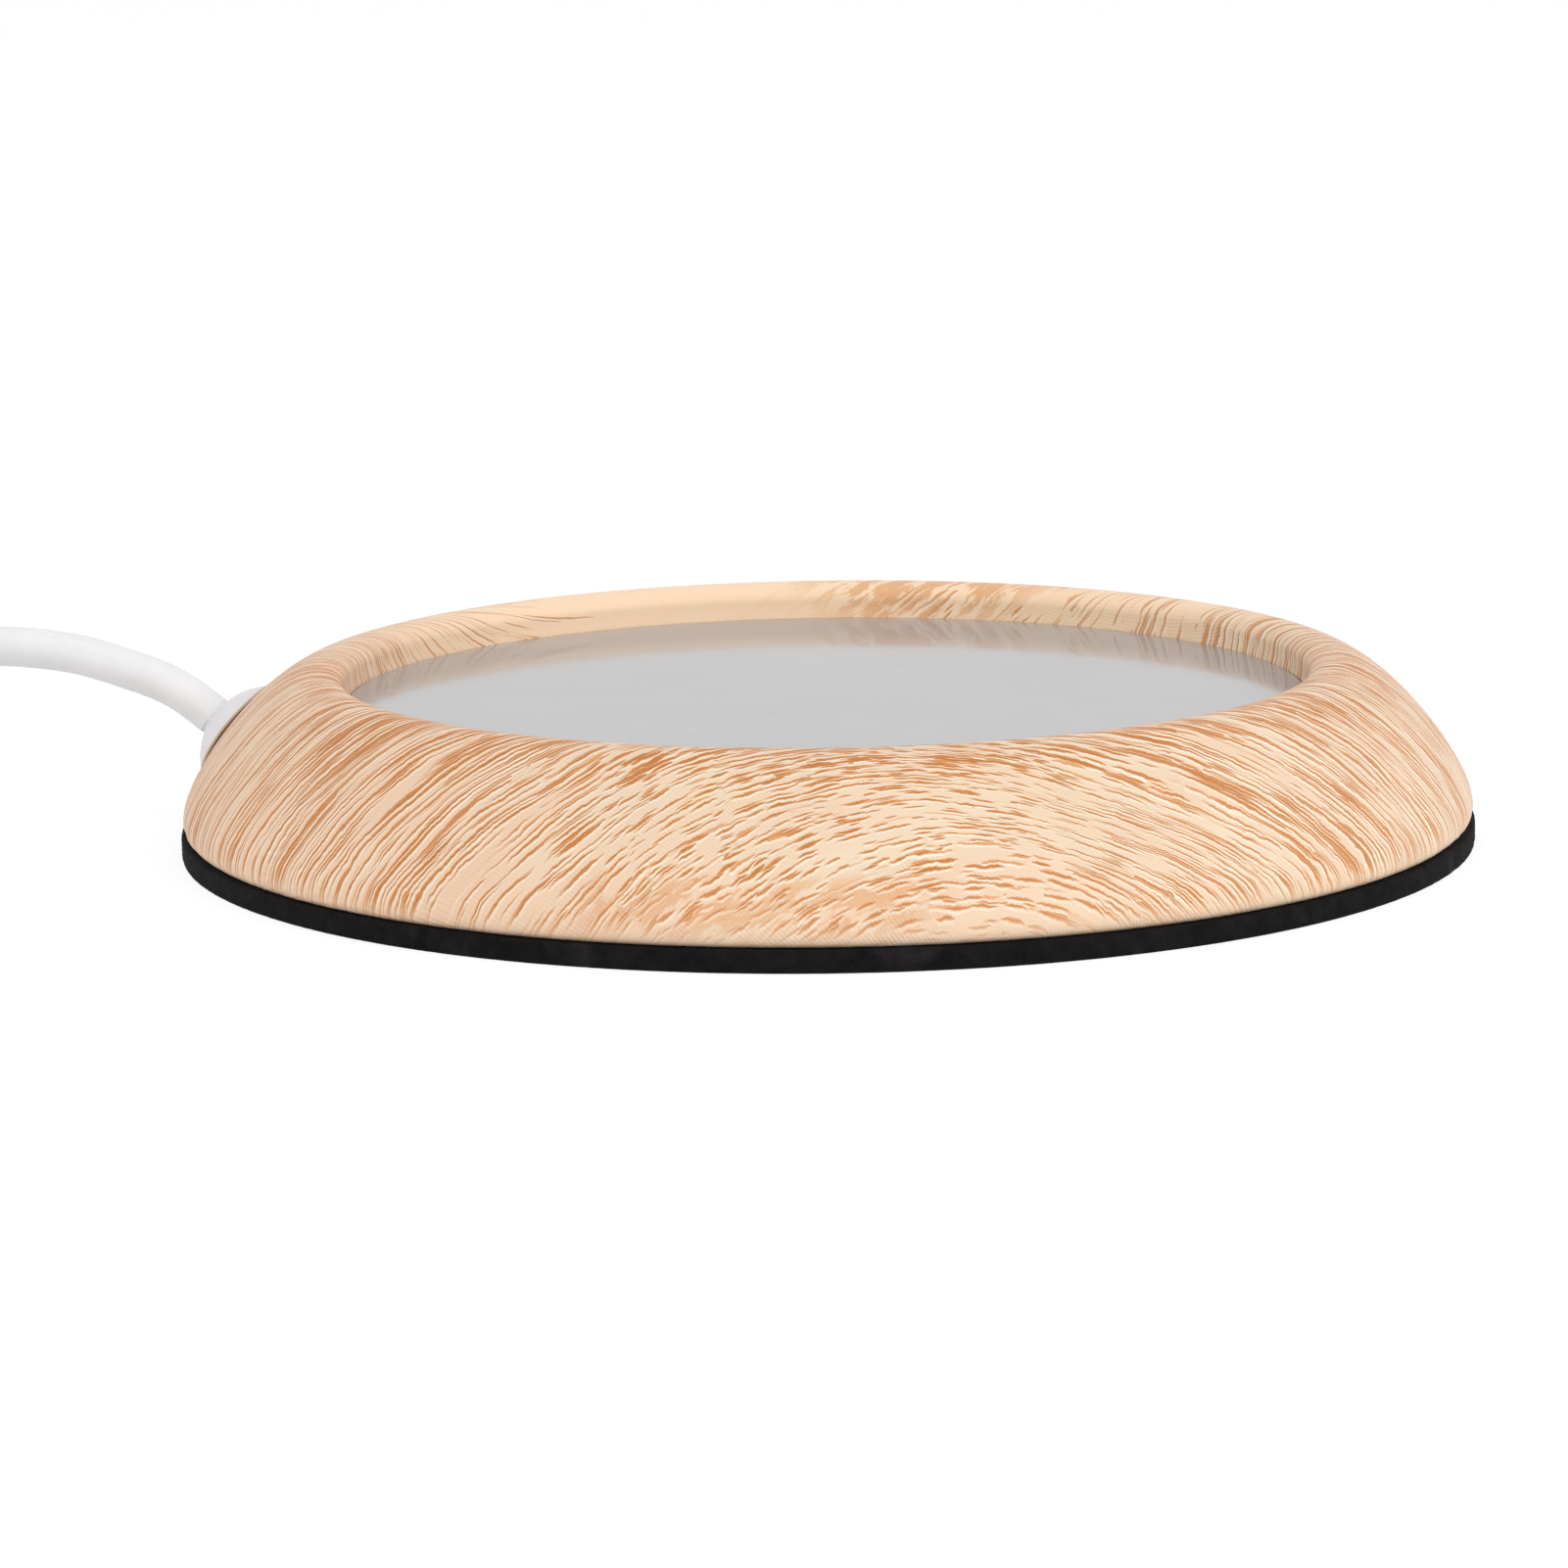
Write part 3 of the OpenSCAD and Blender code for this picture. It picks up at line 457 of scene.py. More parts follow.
def dashes(n, i):
    """Separate strokes, each with its own length and weight, drawn to a point, with a thinner core."""
    at = n.vector(i["Along"] / i["Length"], i["Across"] / i["Spacing"])
    inputs = {"Vector": at, "Scale": 1.0, "Randomness": 0.9}
    cell = n.add("TexVoronoi", inputs, voronoi_dimensions="2D").outputs
    x, y, _ = n.split(n.value("VectorMath", {0: at, 1: cell["Position"]}, operation="SUBTRACT"))
    long, thick, order = n.picks(cell["Color"])[:3]
    part = abs(x) / n.between(long, 0.30, 0.58)
    half = (1 - part * part) * n.between(thick, 0.13, 0.30) * i["Weight"]
    crowd = n.mapped(n.noise(n.scaled(at, (0.3, 0.17, 1)), 1.0, 1.0), 0.35, 0.65, -0.35, 0.35)
    keep = n.math("LESS_THAN", order, i["Amount"] + crowd)
    wide = abs(y)
    return {
        "Mask": n.eased(half - wide, 0.0, 0.07) * keep,
        "Core": n.eased(half * 0.55 - wide, 0.0, 0.06) * keep,
    }


def reach(n, x, y, at_x, at_y, across):
    """Distance from a place on the sheet, with X counted by its share."""
    dx, dy = (x - at_x) * across, y - at_y
    return n.math("SQRT", dx * dx + dy * dy)


SHEET_HALF = 80        # the sheet runs this far each way from the ring's middle, in millimetres
LEAN_SPAN = 52         # the rise in millimetres that the whole height of the curve stands for
GRAIN_LEAN = (         # places across the sheet, and how far the grain has risen there
    (-55, -17.8), (-30, -11.6), (-5, -1.2), (6, 0.8), (14, 0.6), (30, -0.6), (50, -0.2),
)


def grain_line(n, x, y):
    """Which line of the grain a place lies on. The grain leans at the left, fans out low down and wavers."""
    lean = n.add("FloatCurve", {"Value": n.mapped(x, -SHEET_HALF, SHEET_HALF)})
    curve = lean.mapping.curves[0]
    curve.points[0].location, curve.points[1].location = (0, 0.07), (1, 0.5)
    for at, rise in GRAIN_LEAN:
        curve.points.new((at + SHEET_HALF) / (2 * SHEET_HALF), 0.5 + rise / LEAN_SPAN)
    lean.mapping.update()
    rise = (Value(n, lean.outputs[0]) - 0.5) * LEAN_SPAN
    slant = n.eased(y, 0, 42, 0, 0.5) * (x - 30.0)
    fan = n.eased(y, -60, -47, 1, 0) * n.eased(x, -12, 26, 0, 6.5)
    broad, fine = n.vector(x * 0.45, y), n.vector(x, y * 0.35)
    line = y
    for at, scale, detail, size in (
        (broad, 0.045, 1.0, 4.0), (broad, 0.17, 1.0, 2.0), (fine, 0.8, 2.0, 0.45), (fine, 2.3, 1.0, 0.16),
    ):
        line = line + (n.noise(at, scale, detail) - 0.5) * size
    return line - (rise + slant + fan)


def printed_grain(n, i):
    """The print on the flat sheet, in millimetres: strokes along the grain, crowded here and few there, with
    a painted highlight (Light) beside each stroke.
    """
    x, y, _ = n.split(i["Sheet"])
    v = grain_line(n, x, y)
    wide = abs(x)
    drawn = n.most(wide - 20.0, 0.0) * n.mapped(x, -1, 1, 0.38, 0.55)
    u = (n.math("MINIMUM", wide, 20.0) + drawn) * n.math("SIGN", x)

    # parts of the sheet: its sides, the far half, the near crest, the far inner wall and a bare patch
    rho = reach(n, x, y, 0, 0, 1.0)
    sides = n.eased(wide, 17, 36)
    rear = n.eased(y, 8, 36)
    crest = n.eased(rho, 49, 56, 1, 0) * n.eased(y, -15, 12, 1, 0)
    wall = n.eased(rho, 47, 51.5, 1, 0) * n.eased(y, 0, 14)
    bare = n.eased(reach(n, x, y, -20, 47, 0.5), 7, 13, -0.10, 0)
    ends = 1 - n.eased(rho, 60.5, 65, 0, 0.25) * (1 - sides)
    ink = n.mapped(n.noise(i["Sheet"], 4.2, 1.0), 0.34, 0.62, 0.8, 1.0) * ends * n.mapped(x, 10, 50, 1, 0.86)

    # how many strokes there are, and how heavy
    crowd = crest * 0.03 + bare - rear * 0.03 - sides * 0.1
    share = crest * 0.34 + bare * 6.0 - rear * 0.1 + sides * 0.1 - wall * 0.3 + 0.72
    weight = sides * -0.12 + crest * 0.15 + 1.0
    patchy = n.mapped(n.noise(n.vector(x * 0.06, v * 0.3), 1.0, 1.0), 0.42, 0.62)
    stretched = n.most(sides, crest)
    long_share = n.between(stretched, 0.1, 0.95) + n.between(patchy, -0.3, 0.15) + bare * 6.0 - wall * 0.35
    long_weight = n.between(stretched, 0.5, 1.0) + crest * 0.25

    def strokes(shift):
        """The cores of the strokes and the whole of them, moved across the grain."""
        across = v + shift
        core, mask = 0.0, 0.0
        for along, down, long, apart, amount, heavy in (
            (0.0, 0.0, 3.1, 0.85, share, weight),
            (43.0, 21.3, 2.1, 0.7, share - 0.25, weight),
            (91.0, 5.7, 12.0, 1.0, long_share, long_weight),
            (57.0, 9.0, 8.0, 0.66, long_share - 0.1, long_weight),
        ):
            dash = n.own("Grain dashes", {
                "Along": u + along, "Across": across + down,
                "Length": long, "Spacing": apart, "Amount": amount, "Weight": heavy,
            })
            core, mask = n.most(dash["Core"], core), n.most(dash["Mask"], mask)
        fleck = n.own("Grain flecks", {
            "Along": u + 31.0, "Across": across + 17.0,
            "Length": 4.2, "Spacing": 0.6, "Amount": crowd + 0.375,
        })
        return core, n.most(mask, fleck["Mask"])

    core, here = strokes(0.0)
    # the strokes moved across the grain: they give the relief in Height and the place of the painted
    # highlight
    beside = strokes(0.24)[1]

    # broad smudges of the same ink, in bands and in two blotches
    band = n.eased(n.noise(n.vector(u * 0.08, v * 1.25), 1.0, 1.5), 0.645, 0.69)
    band = band * n.between(rear, 0.55, 0.1) * n.mapped(x, 10, 40, 1, 0.7)
    low_front = n.eased(rho, 60.8, 63.2) * n.eased(reach(n, x, y, -7, -64, 1.0), 13, 19, 1, 0)
    far_side = n.eased(reach(n, x, y, 14, 47, 0.5), 5, 10, 1, 0)
    blotch = n.eased(n.noise(n.vector(x * 0.2, v * 0.5), 1.0, 4.0, 0.65), 0.45, 0.53)
    broad = n.most(band, blotch * n.most(low_front, far_side) * 0.7) * ink

    tone = n.mapped(n.noise(n.vector(x * 0.03, v * 0.2), 1.0, 3.0, 0.6), 0.4, 0.7)
    warmer = sides * n.mapped(y, 10, 40, 1, 0) * n.mapped(x, -10, 10, 1, 0.15)
    # painted highlight beside the strokes, in patches
    light = n.math("SUBTRACT", beside, here, clamp=True) * n.between(patchy, 0.55, 1.0)
    return {
        "Tone": n.math("ADD", tone, warmer * 0.65, clamp=True),
        "Strokes": n.most(here * ink * n.between(rear, 1, 0.75), broad),
        "Fine": core * ink * n.between(rear, 1, 0.42) * n.between(crest, 1, 1.15),
        "Light": light * n.between(sides, 0.8, 1.0) * n.between(rear, 1, 0.6) * ends,
        "Rear": rear,
        "Height": (beside * 0.5 - here) * ends,
    }


def ribbed_weave(n, i):
    """Fine ribs on the bias with a fainter rib across them."""
    x, y, _ = n.split(i["Sheet"])
    turn = TAU * 0.7071 / i["Pitch"]
    rib = n.math("SINE", (x + y) * turn)
    cross = n.math("SINE", (x - y) * turn * 0.62)
    worn = n.mapped(n.noise(i["Sheet"], 0.12, 2.0), 0.35, 0.65, 0.25, 1.0)
    return {"Height": (rib + cross * 0.4) * worn, "Shade": n.mapped(rib, -1, 1) * worn}


def mottling(n, i):
    """Uneven tone and a fine tooth, for foam, felt and moulded plastic."""
    at = n.place()
    broad = n.noise(at, i["Scale"], 3.0, 0.6)
    tooth = n.noise(at, i["Scale"] * 9.0, 2.0, 0.6)
    return {"Tone": n.spread(broad), "Tooth": tooth, "Height": broad * 0.35 + tooth}


def fine_specks(n, i):
    """Sparse specks of dust or pigment."""
    cell = n.add("TexVoronoi", {"Vector": n.place(), "Scale": i["Scale"]}).outputs
    keep = n.math("GREATER_THAN", n.picks(cell["Color"])[0], 1 - i["Amount"])
    return {"Mask": n.eased(cell["Distance"], 0.05, 0.22, 1, 0) * keep}


def drawn_metal(n, i):
    """Lines from rolling or turning, along the direction that Grain gives the least."""
    lines = n.noise(n.scaled(n.place(), i["Grain"]), 1.0, 3.0, 0.65)
    return {"Lines": lines, "Cloud": n.spread(n.noise(n.place(), 160.0, 2.0))}


SHEET = {"Sheet": (0.0, 0.0, 0.0)}
STROKE = {"Along": 0.0, "Across": 0.0, "Length": 3.0, "Spacing": 0.8, "Amount": 0.5}
EFFECTS = {
    "Grain flecks": (flecks, STROKE, ["Mask"]),
    "Grain dashes": (dashes, {**STROKE, "Weight": 1.0}, ["Mask", "Core"]),
    "Printed grain": (printed_grain, SHEET, ["Tone", "Strokes", "Fine", "Light", "Rear", "Height"]),
    "Ribbed weave": (ribbed_weave, {**SHEET, "Pitch": 0.36}, ["Height", "Shade"]),
    "Mottling": (mottling, {"Scale": 400.0}, ["Tone", "Tooth", "Height"]),
    "Fine specks": (fine_specks, {"Scale": 600.0, "Amount": 0.05}, ["Mask"]),
    "Drawn metal": (drawn_metal, {"Grain": (900.0, 900.0, 60.0)}, ["Lines", "Cloud"]),
}


# ---- materials -------------------------------------------------------------------


def empty_tree(owner):
    """The node tree of a material or a world, with nothing in it."""
    owner.use_nodes = True
    owner.node_tree.nodes.clear()
    return Nodes(owner.node_tree)


def material(name, build):
    """The material of that name, built once. build(n) gives the Principled BSDF's inputs."""
    if name not in bpy.data.materials:
        n = empty_tree(bpy.data.materials.new(name))
        shader = n.add("BsdfPrincipled", build(n))
        n.add("OutputMaterial", {"Surface": shader.outputs[0]})
    return bpy.data.materials[name]


def finish(name):
    """Makes a function that gives a shader's inputs into one that gives the material of that name."""
    def wrap(build):
        return lambda: material(name, build)
    return wrap


def shades(c, dark, light):
    return tuple(v * dark for v in c), tuple(min(1, v * light) for v in c)


def uneven(n, scale, low, high, gloss, rough, depth, strength=0.5):
    """A surface of uneven tone between two colours, with a fine tooth in its gloss and its relief."""
    m = n.own("Mottling", {"Scale": scale})
    return {
        "Base Color": n.mix(m["Tone"], low, high),
        "Roughness": n.spread(m["Tooth"], gloss, rough),
        "Normal": n.bump(m["Height"], depth, strength),
    }


def specked(n, base, scale, amount, strength, colour):
    specks = n.own("Fine specks", {"Scale": scale, "Amount": amount})["Mask"]
    return n.mix(specks * strength, base, colour)


def plastic(name, c, rough=0.45, tooth=900.0, depth=0.00001, spread=0.05, dust=0.0):
    """Moulded plastic: a fine tooth, slightly uneven tone and gloss, a few specks."""
    def build(n):
        low, high = shades(c, 1 - spread, 1 + spread)
        look = uneven(n, tooth, low, high, rough - 0.06, rough + 0.06, depth, 0.6)
        if dust:
            look["Base Color"] = specked(n, look["Base Color"], tooth * 1.3, dust, 0.5, shades(c, 0.6, 1)[0])
        return look
    return material(name, build)


def metal(name, c, rough=0.28, grain=(900.0, 900.0, 60.0), tarnish=0.75):
    """Drawn or turned metal with fine lines and a little dulling."""
    def build(n):
        d = n.own("Drawn metal", {"Grain": grain})
        return {
            "Base Color": n.mix(n.mapped(d["Cloud"], 0.45, 1.0), c, shades(c, tarnish, 1)[0]),
            "Metallic": 1.0,
            "Roughness": n.spread(d["Lines"], rough - 0.08, rough + 0.12),
            "Normal": n.bump(d["Lines"], 0.000006, 0.5),
        }
    return material(name, build)


@finish("Printed wood-grain cover")
def cover_print(n):
    """Grain printed over a ribbed weave. The print pales towards the foot, and the weave at the back."""
    look = settings().print
    sheet = n.value("Attribute", output="Vector", attribute_name="sheet", attribute_type="GEOMETRY")
    g = n.own("Printed grain", {"Sheet": sheet})
    w = n.own("Ribbed weave", {"Sheet": sheet, "Pitch": look.weave})
    fade = n.eased(n.split(n.place())[2], 2.4 * MM, 4.6 * MM, 0.25, 1.0)
    shown = n.between(g["Rear"], 1, 0.25)
    shade = w["Shade"] * shown
    base = n.mix(g["Tone"], look.pale, look.warm)
    # the far half gets a lighter ground: partly painted light on the far inner wall, partly paler print
    base = n.mix(g["Rear"] * 0.85, base, look.far_ground_and_painted_light)
    base = n.mix(shade * 0.24, base, shades(look.warm, 0.82, 1)[0])
    base = n.mix(g["Strokes"] * n.between(shade, 0.96, 0.74) * fade, base, look.stroke)
    base = n.mix(g["Fine"] * 0.95 * fade, base, look.dark)
    # painted highlight: near-white beside the strokes, for the lit side of their relief
    base = n.mix(g["Light"] * 0.88 * fade, base, look.light)
    height = g["Height"] * fade * 0.3 + w["Height"] * shown * 0.34
    return {
        "Base Color": base, "Roughness": n.between(g["Strokes"], 0.5, 0.62), "Specular IOR Level": 0.42,
        "Normal": n.bump(height, 0.00007, 0.7), "Sheen Weight": 0.08, "Sheen Roughness": 0.5,
    }


@finish("Cut edge of the cover")
def cover_edge(n):
    fibre = n.noise(n.scaled(n.place(), (2600, 2600, 2600)), 1.0, 3.0, 0.7)
    base = n.mix(fibre, (0.72, 0.58, 0.40), (0.42, 0.30, 0.18))
    return {"Base Color": base, "Roughness": 0.85, "Normal": n.bump(fibre, 0.00008, 0.8)}


# painted shadow: dark brown on the welt's outer side, standing for the shadowed gap between the cover's edge
# and the gland
@finish("Glue line round the gland")
def gap_shadow_line(n):
    return uneven(n, 900.0, (0.10, 0.065, 0.045), (0.17, 0.11, 0.075), 0.55, 0.7, 0.00003)


@finish("Black foam rubber")
def foam_foot(n):
    """Open-celled foam, scuffed grey here and there, with painted shade darkening the pore in each cell."""
    c = settings().finish.foam
    m = n.own("Mottling", {"Scale": 520.0})
    shaded_pores = n.own("Fine specks", {"Scale": 2100.0, "Amount": 0.5})["Mask"]
    scuffed = n.mapped(n.own("Mottling", {"Scale": 130.0})["Tone"], 0.62, 0.95)
    base = n.mix(m["Tone"], c, tuple(v * 2.4 for v in c))
    base = n.mix(scuffed * m["Tooth"] * 0.5, base, (0.04, 0.036, 0.036))
    # painted shade in the hollow of each pore
    base = n.mix(shaded_pores * 0.7, base, (0.004, 0.004, 0.004))
    return {
        "Base Color": base, "Roughness": n.spread(m["Tooth"], 0.8, 1.0), "Specular IOR Level": 0.09,
        "Normal": n.bump(m["Height"] - shaded_pores, 0.00012, 0.8),
    }


@finish("Glossy plate enamel")
def plate_enamel(n):
    c = settings().finish.plate
    m = n.own("Mottling", {"Scale": 60.0})
    base = n.mix(m["Tone"], *shades(c, 0.97, 1.03))
    return {
        "Base Color": specked(n, base, 420.0, 0.05, 0.35, shades(c, 1.35, 1)[0]),
        "Roughness": n.spread(m["Tooth"], 0.08, 0.115), "Specular IOR Level": 0.37,
        "Coat Weight": n.between(m["Tone"], 0.02, 0.05), "Coat Roughness": 0.06,
        "Normal": n.bump(m["Tooth"], 0.000004, 0.3),
    }


@finish("Wool felt")
def felt_wool(n):
    fibre = n.noise(n.scaled(n.place(), (1400, 1400, 500)), 1.0, 4.0, 0.75, 1.4)
    return {
        "Base Color": n.mix(fibre, (0.62, 0.61, 0.56), (0.9, 0.89, 0.85)),
        "Roughness": 0.95, "Sheen Weight": 0.3, "Normal": n.bump(fibre, 0.0003, 0.8),
    }


@finish("Amber heater film")
def heater_amber(n):
    look = uneven(n, 220.0, (0.56, 0.22, 0.03), (0.78, 0.36, 0.07), 0.18, 0.3, 0.00002, 0.4)
    coat = n.between(n.own("Mottling", {"Scale": 220.0})["Tone"], 0.4, 0.6)
    return look | {"Coat Weight": coat, "Coat Roughness": 0.1}


@finish("Green board")
def board_mask(n):
    """Green lacquer over a glass weave."""
    m = n.own("Mottling", {"Scale": 300.0})
    x, y, _ = n.split(n.place())
    weave = n.math("SINE", x * 9000.0) * n.math("SINE", y * 9000.0)
    return {
        "Base Color": n.mix(n.mapped(weave, -1, 1), (0.01, 0.13, 0.045), (0.02, 0.21, 0.07)),
        "Roughness": n.spread(m["Tooth"], 0.25, 0.4), "Normal": n.bump(weave, 0.00001, 0.5),
    }


@finish("White vinyl lead")
def white_vinyl(n):
    c = settings().finish.lead
    look = uneven(n, 260.0, *shades(c, 0.955, 1.03), 0.34, 0.46, 0.000012)
    look["Base Color"] = specked(n, look["Base Color"], 900.0, 0.03, 0.4, shades(c, 0.7, 1)[0])
    return look | {
        "Subsurface Weight": 0.06, "Subsurface Radius": (0.002, 0.0016, 0.0016), "Subsurface Scale": 0.5,
    }


def all_finishes():
    """One finish for each material slot of the record, so that every solid has one."""
    f = settings().finish
    return {
        "foam_rubber": foam_foot(),
        "dark_plastic": plastic("Dark moulded base", (0.022, 0.022, 0.024), 0.5, 1100.0, 0.00002, 0.25),
        "steel": metal("Zinc-plated steel", (0.62, 0.63, 0.65), 0.34),
        "core_plastic": plastic("Moulded core", (0.74, 0.72, 0.66), 0.5, 700.0, 0.000015, 0.05, 0.02),
        "wood_grain_cover": cover_print(),
        "silicone": plastic("Grey silicone", (0.045, 0.044, 0.045), 0.6, 800.0, 0.00001, 0.2),
        "plate_enamel": plate_enamel(),
        "polyimide": heater_amber(),
        "resistor_ink": plastic("Printed resistor ink", (0.075, 0.06, 0.055), 0.7, 1500.0, 0.00002, 0.3),
        "felt": felt_wool(),
        "white_plastic": plastic("White moulded plastic", tuple(f.case), 0.36, 1200.0, 0.00001, 0.02, 0.02),
        "white_pvc": white_vinyl(),
        "board_green": board_mask(),
        "component_tan": plastic("Board parts", (0.46, 0.33, 0.12), 0.42, 900.0, 0.00002, 0.25),
        "wire_red": plastic("Red wire", (0.5, 0.015, 0.012), 0.38, 600.0, 0.00001, 0.12),
        "wire_black": plastic("Black wire", (0.015, 0.015, 0.016), 0.38, 600.0, 0.00001, 0.2),
        "wire_white": plastic("White wire", (0.72, 0.71, 0.69), 0.38, 600.0, 0.00001, 0.05),
        "rocker_plastic": plastic("Grey rocker", (0.50, 0.51, 0.53), 0.3, 1400.0, 0.000008, 0.03),
        "contact_bronze": metal("Bronze spring", (0.62, 0.33, 0.17), 0.3),
        "contact_brass": metal("Brass contact", (0.72, 0.50, 0.20), 0.26),
        "shell_nickel": metal("Nickel shell", (0.68, 0.67, 0.65), 0.22, (120.0, 120.0, 2400.0), 0.9),
    }


# ---- the ring's section ------------------------------------------------------------

LIP_DROP = 1.7 * MM
GLAND_AZ = math.radians(169.5)
GLAND_ALONG = 0.365       # how far up the flank the gland sits, as a share of its curve


def bezier(points, t):
    weights = ((1 - t) ** 3, 3 * (1 - t) ** 2 * t, 3 * (1 - t) * t * t, t**3)
    return sum((w * Vector(p) for w, p in zip(weights, points)), Vector((0, 0)))


def opening_radius():
    return settings().ring.radius - settings().ring.band


def crown_radius():
    return opening_radius() + settings().ring.lip_roll


def ring_curves():
    """Two curves: from the foot up to the crown, and from there over the inner roll to the lip."""
    r, top, opening = settings().ring, crown_radius(), opening_radius()
    waist, lip = PAD_HIGH.z + r.foot_roll, r.crown - LIP_DROP
    flank = (
        (r.radius, waist), (r.radius, waist + 0.265 * (r.crown - waist)),
        (top + 0.372 * (r.radius - top), r.crown), (top, r.crown),
    )
    roll = (
        (top, r.crown), (top - 0.62 * r.lip_roll, r.crown),
        (opening, lip + 0.62 * (r.crown - lip)), (opening, lip),
    )
    return flank, roll


def inwards(curve, t, d):
    a, b = bezier(curve, max(0, t - 1e-3)), bezier(curve, min(1, t + 1e-3))
    u = (b - a).normalized()
    return bezier(curve, t) + d * Vector((-u.y, u.x))


def section(d, foot, along, inner):
    """The outside of the ring moved inwards by d: foot, flank and crown, inner roll."""
    r, out = settings().ring, []
    for k in range(foot + 1):
        x, z = polar(r.foot_roll - d, math.radians(-90 + 90 * k / foot))
        out.append(Vector((r.radius - r.foot_roll + x, PAD_HIGH.z + r.foot_roll + z)))
    for curve, steps in zip(ring_curves(), (along, inner)):
        out += [inwards(curve, k / steps, d) for k in range(1, steps + 1)]
    return out


def gland_frame():
    """From the gland's own axes, with Z outwards and 0 on the cover, to the object."""
    flank = ring_curves()[0]
    p = bezier(flank, GLAND_ALONG)
    out = p - inwards(flank, GLAND_ALONG, 1 * MM)
    tilt = Matrix.Rotation(math.pi / 2 - math.atan2(out.y, out.x), 4, "Y")
    return Matrix.Rotation(GLAND_AZ, 4, "Z") @ Matrix.Translation((p.x, 0, p.y)) @ tilt


# ---- the lead --------------------------------------------------------------------------

LEAD_RADIUS = 1.9 * MM
SWITCH_AT = Vector((EDGE_X - 62.4 * MM, -56 * MM, 0))
PIVOT_HEIGHT, ROCKER_REST = 10 * MM, math.radians(-8)
PLUG_AT, PLUG_TURN = Vector((EDGE_X - 46.7 * MM, 0.8 * MM, 11.9 * MM)), math.radians(225)
COIL_AT = (EDGE_X - 47.9 * MM, -17 * MM)
COIL_TURNS = (                # radius and height of each turn in millimetres, and where the last one ends
    (26.5, 2.0), (22.6, 2.0), (18.7, 2.0), (14.8, 2.0), (14.8, 5.9), (18.7, 5.9), (22.6, 5.9), (22.8, 8.7),
)


def from_edge(points):
    """Points in millimetres, with X counted from the left edge of the foot."""
    return [Vector((EDGE_X + x * MM, y * MM, z * MM)) for x, y, z in points]


def near_route():
    """From inside the gland out to the switch."""
    return [gland_frame() @ Vector((0, 0, h * MM)) for h in (2.3, 6.9)] + from_edge([
        (-6.7, 12.3, 14.7), (-11.9, 13, 16.1), (-18.4, 13.7, 16.7), (-23.4, 14.2, 16.3), (-27.9, 14.6, 15),
        (-32.7, 14.9, 12.8), (-37.3, 15, 9.4), (-41.9, 15, 5.9), (-46.4, 15, 3.7), (-51.4, 15, 2.4),
        (-56.9, 15, 2), (-64.9, 15, 2), (-72.9, 15, 2), (-80.4, 15, 2), (-85.9, 14.2, 2), (-90.9, 12, 2),
        (-95.4, 8.5, 2), (-98.7, 4, 2), (-100.2, -1, 2), (-100.4, -7, 2), (-100.4, -15, 2),
        (-100.4, -24, 2), (-100.4, -32, 2.3), (-100.1, -39, 3.2), (-98.7, -45.5, 4), (-95.9, -51, 5),
        (-92.4, -54.6, 5.7), (-88.9, -56, 6), (-85.4, -56, 6),
    ])


def far_route():
    """From the switch to the coil, round its seven turns, and off its top into the plug."""
    start = from_edge([
        (-39.4, -56, 6), (-36.4, -56, 6), (-31.9, -54.8, 5.5), (-27.5, -51.8, 4.5), (-23.9, -47.4, 3.5),
        (-21.9, -42, 2.6), (-21.4, -36, 2.1), (-21.4, -29, 2), (-21.4, -23, 2),
    ])
    end = from_edge([
        (-28.3, -28.3, 8.7), (-25.3, -23.1, 9.2), (-22.3, -17.9, 9.6), (-20.3, -11.5, 10),
        (-21.1, -4.8, 10.4), (-24.7, 0.8, 10.8), (-30.4, 4.4, 11.2), (-37.1, 5.3, 11.6),
        (-42.3, 3.9, 11.8), (-46.7, 0.8, 11.9),
    ])
    coil = []
    for this, after in zip(COIL_TURNS, COIL_TURNS[1:]):
        last = after is COIL_TURNS[-1]
        for a in range(0, 320 if last else 360, 5):
            s = min(1, max(0, (a - 285) / 60))
            s = s * s * (3 - 2 * s)
            r, z = [p + (q - p) * s for p, q in zip(this, after)]
            x, y = polar(r * MM, math.radians(a))
            coil.append(Vector((COIL_AT[0] + x, COIL_AT[1] + y, z * MM)))
    return curved(start + coil[:1], 4)[:-1] + coil + curved(end, 4)


class MugWarmerOperator:
    bl_options = {"REGISTER", "UNDO"}

    def execute(self, context):
        self.build(settings())
        return {"FINISHED"}


class MUGWARMER_OT_camera(MugWarmerOperator, bpy.types.Operator):
    """Places the camera in front of the ring, a little above it"""

    bl_idname = "mugwarmer.camera"
    bl_label = "Camera"

    def build(self, s):
        c = s.stage
        back, high = polar(c.distance, c.elevation)
        at = Vector((0, -back, high))
        ahead = (Vector((c.aim_x, 0, c.aim_z)) - at).normalized()
        side = ahead.cross(Vector((0, 0, 1))).normalized()
        up = side.cross(ahead)
        x = side * math.cos(c.roll) + up * math.sin(c.roll)
        y = up * math.cos(c.roll) - side * math.sin(c.roll)
        data = bpy.data.cameras.new("camera")
        data.lens, data.sensor_width, data.clip_start, data.clip_end = c.lens, 36, 0.02, 20
        cam = put("camera", data)
        cam.matrix_world = Matrix.Translation(at) @ Matrix((x, y, -ahead)).transposed().to_4x4()
        bpy.context.scene.camera = cam


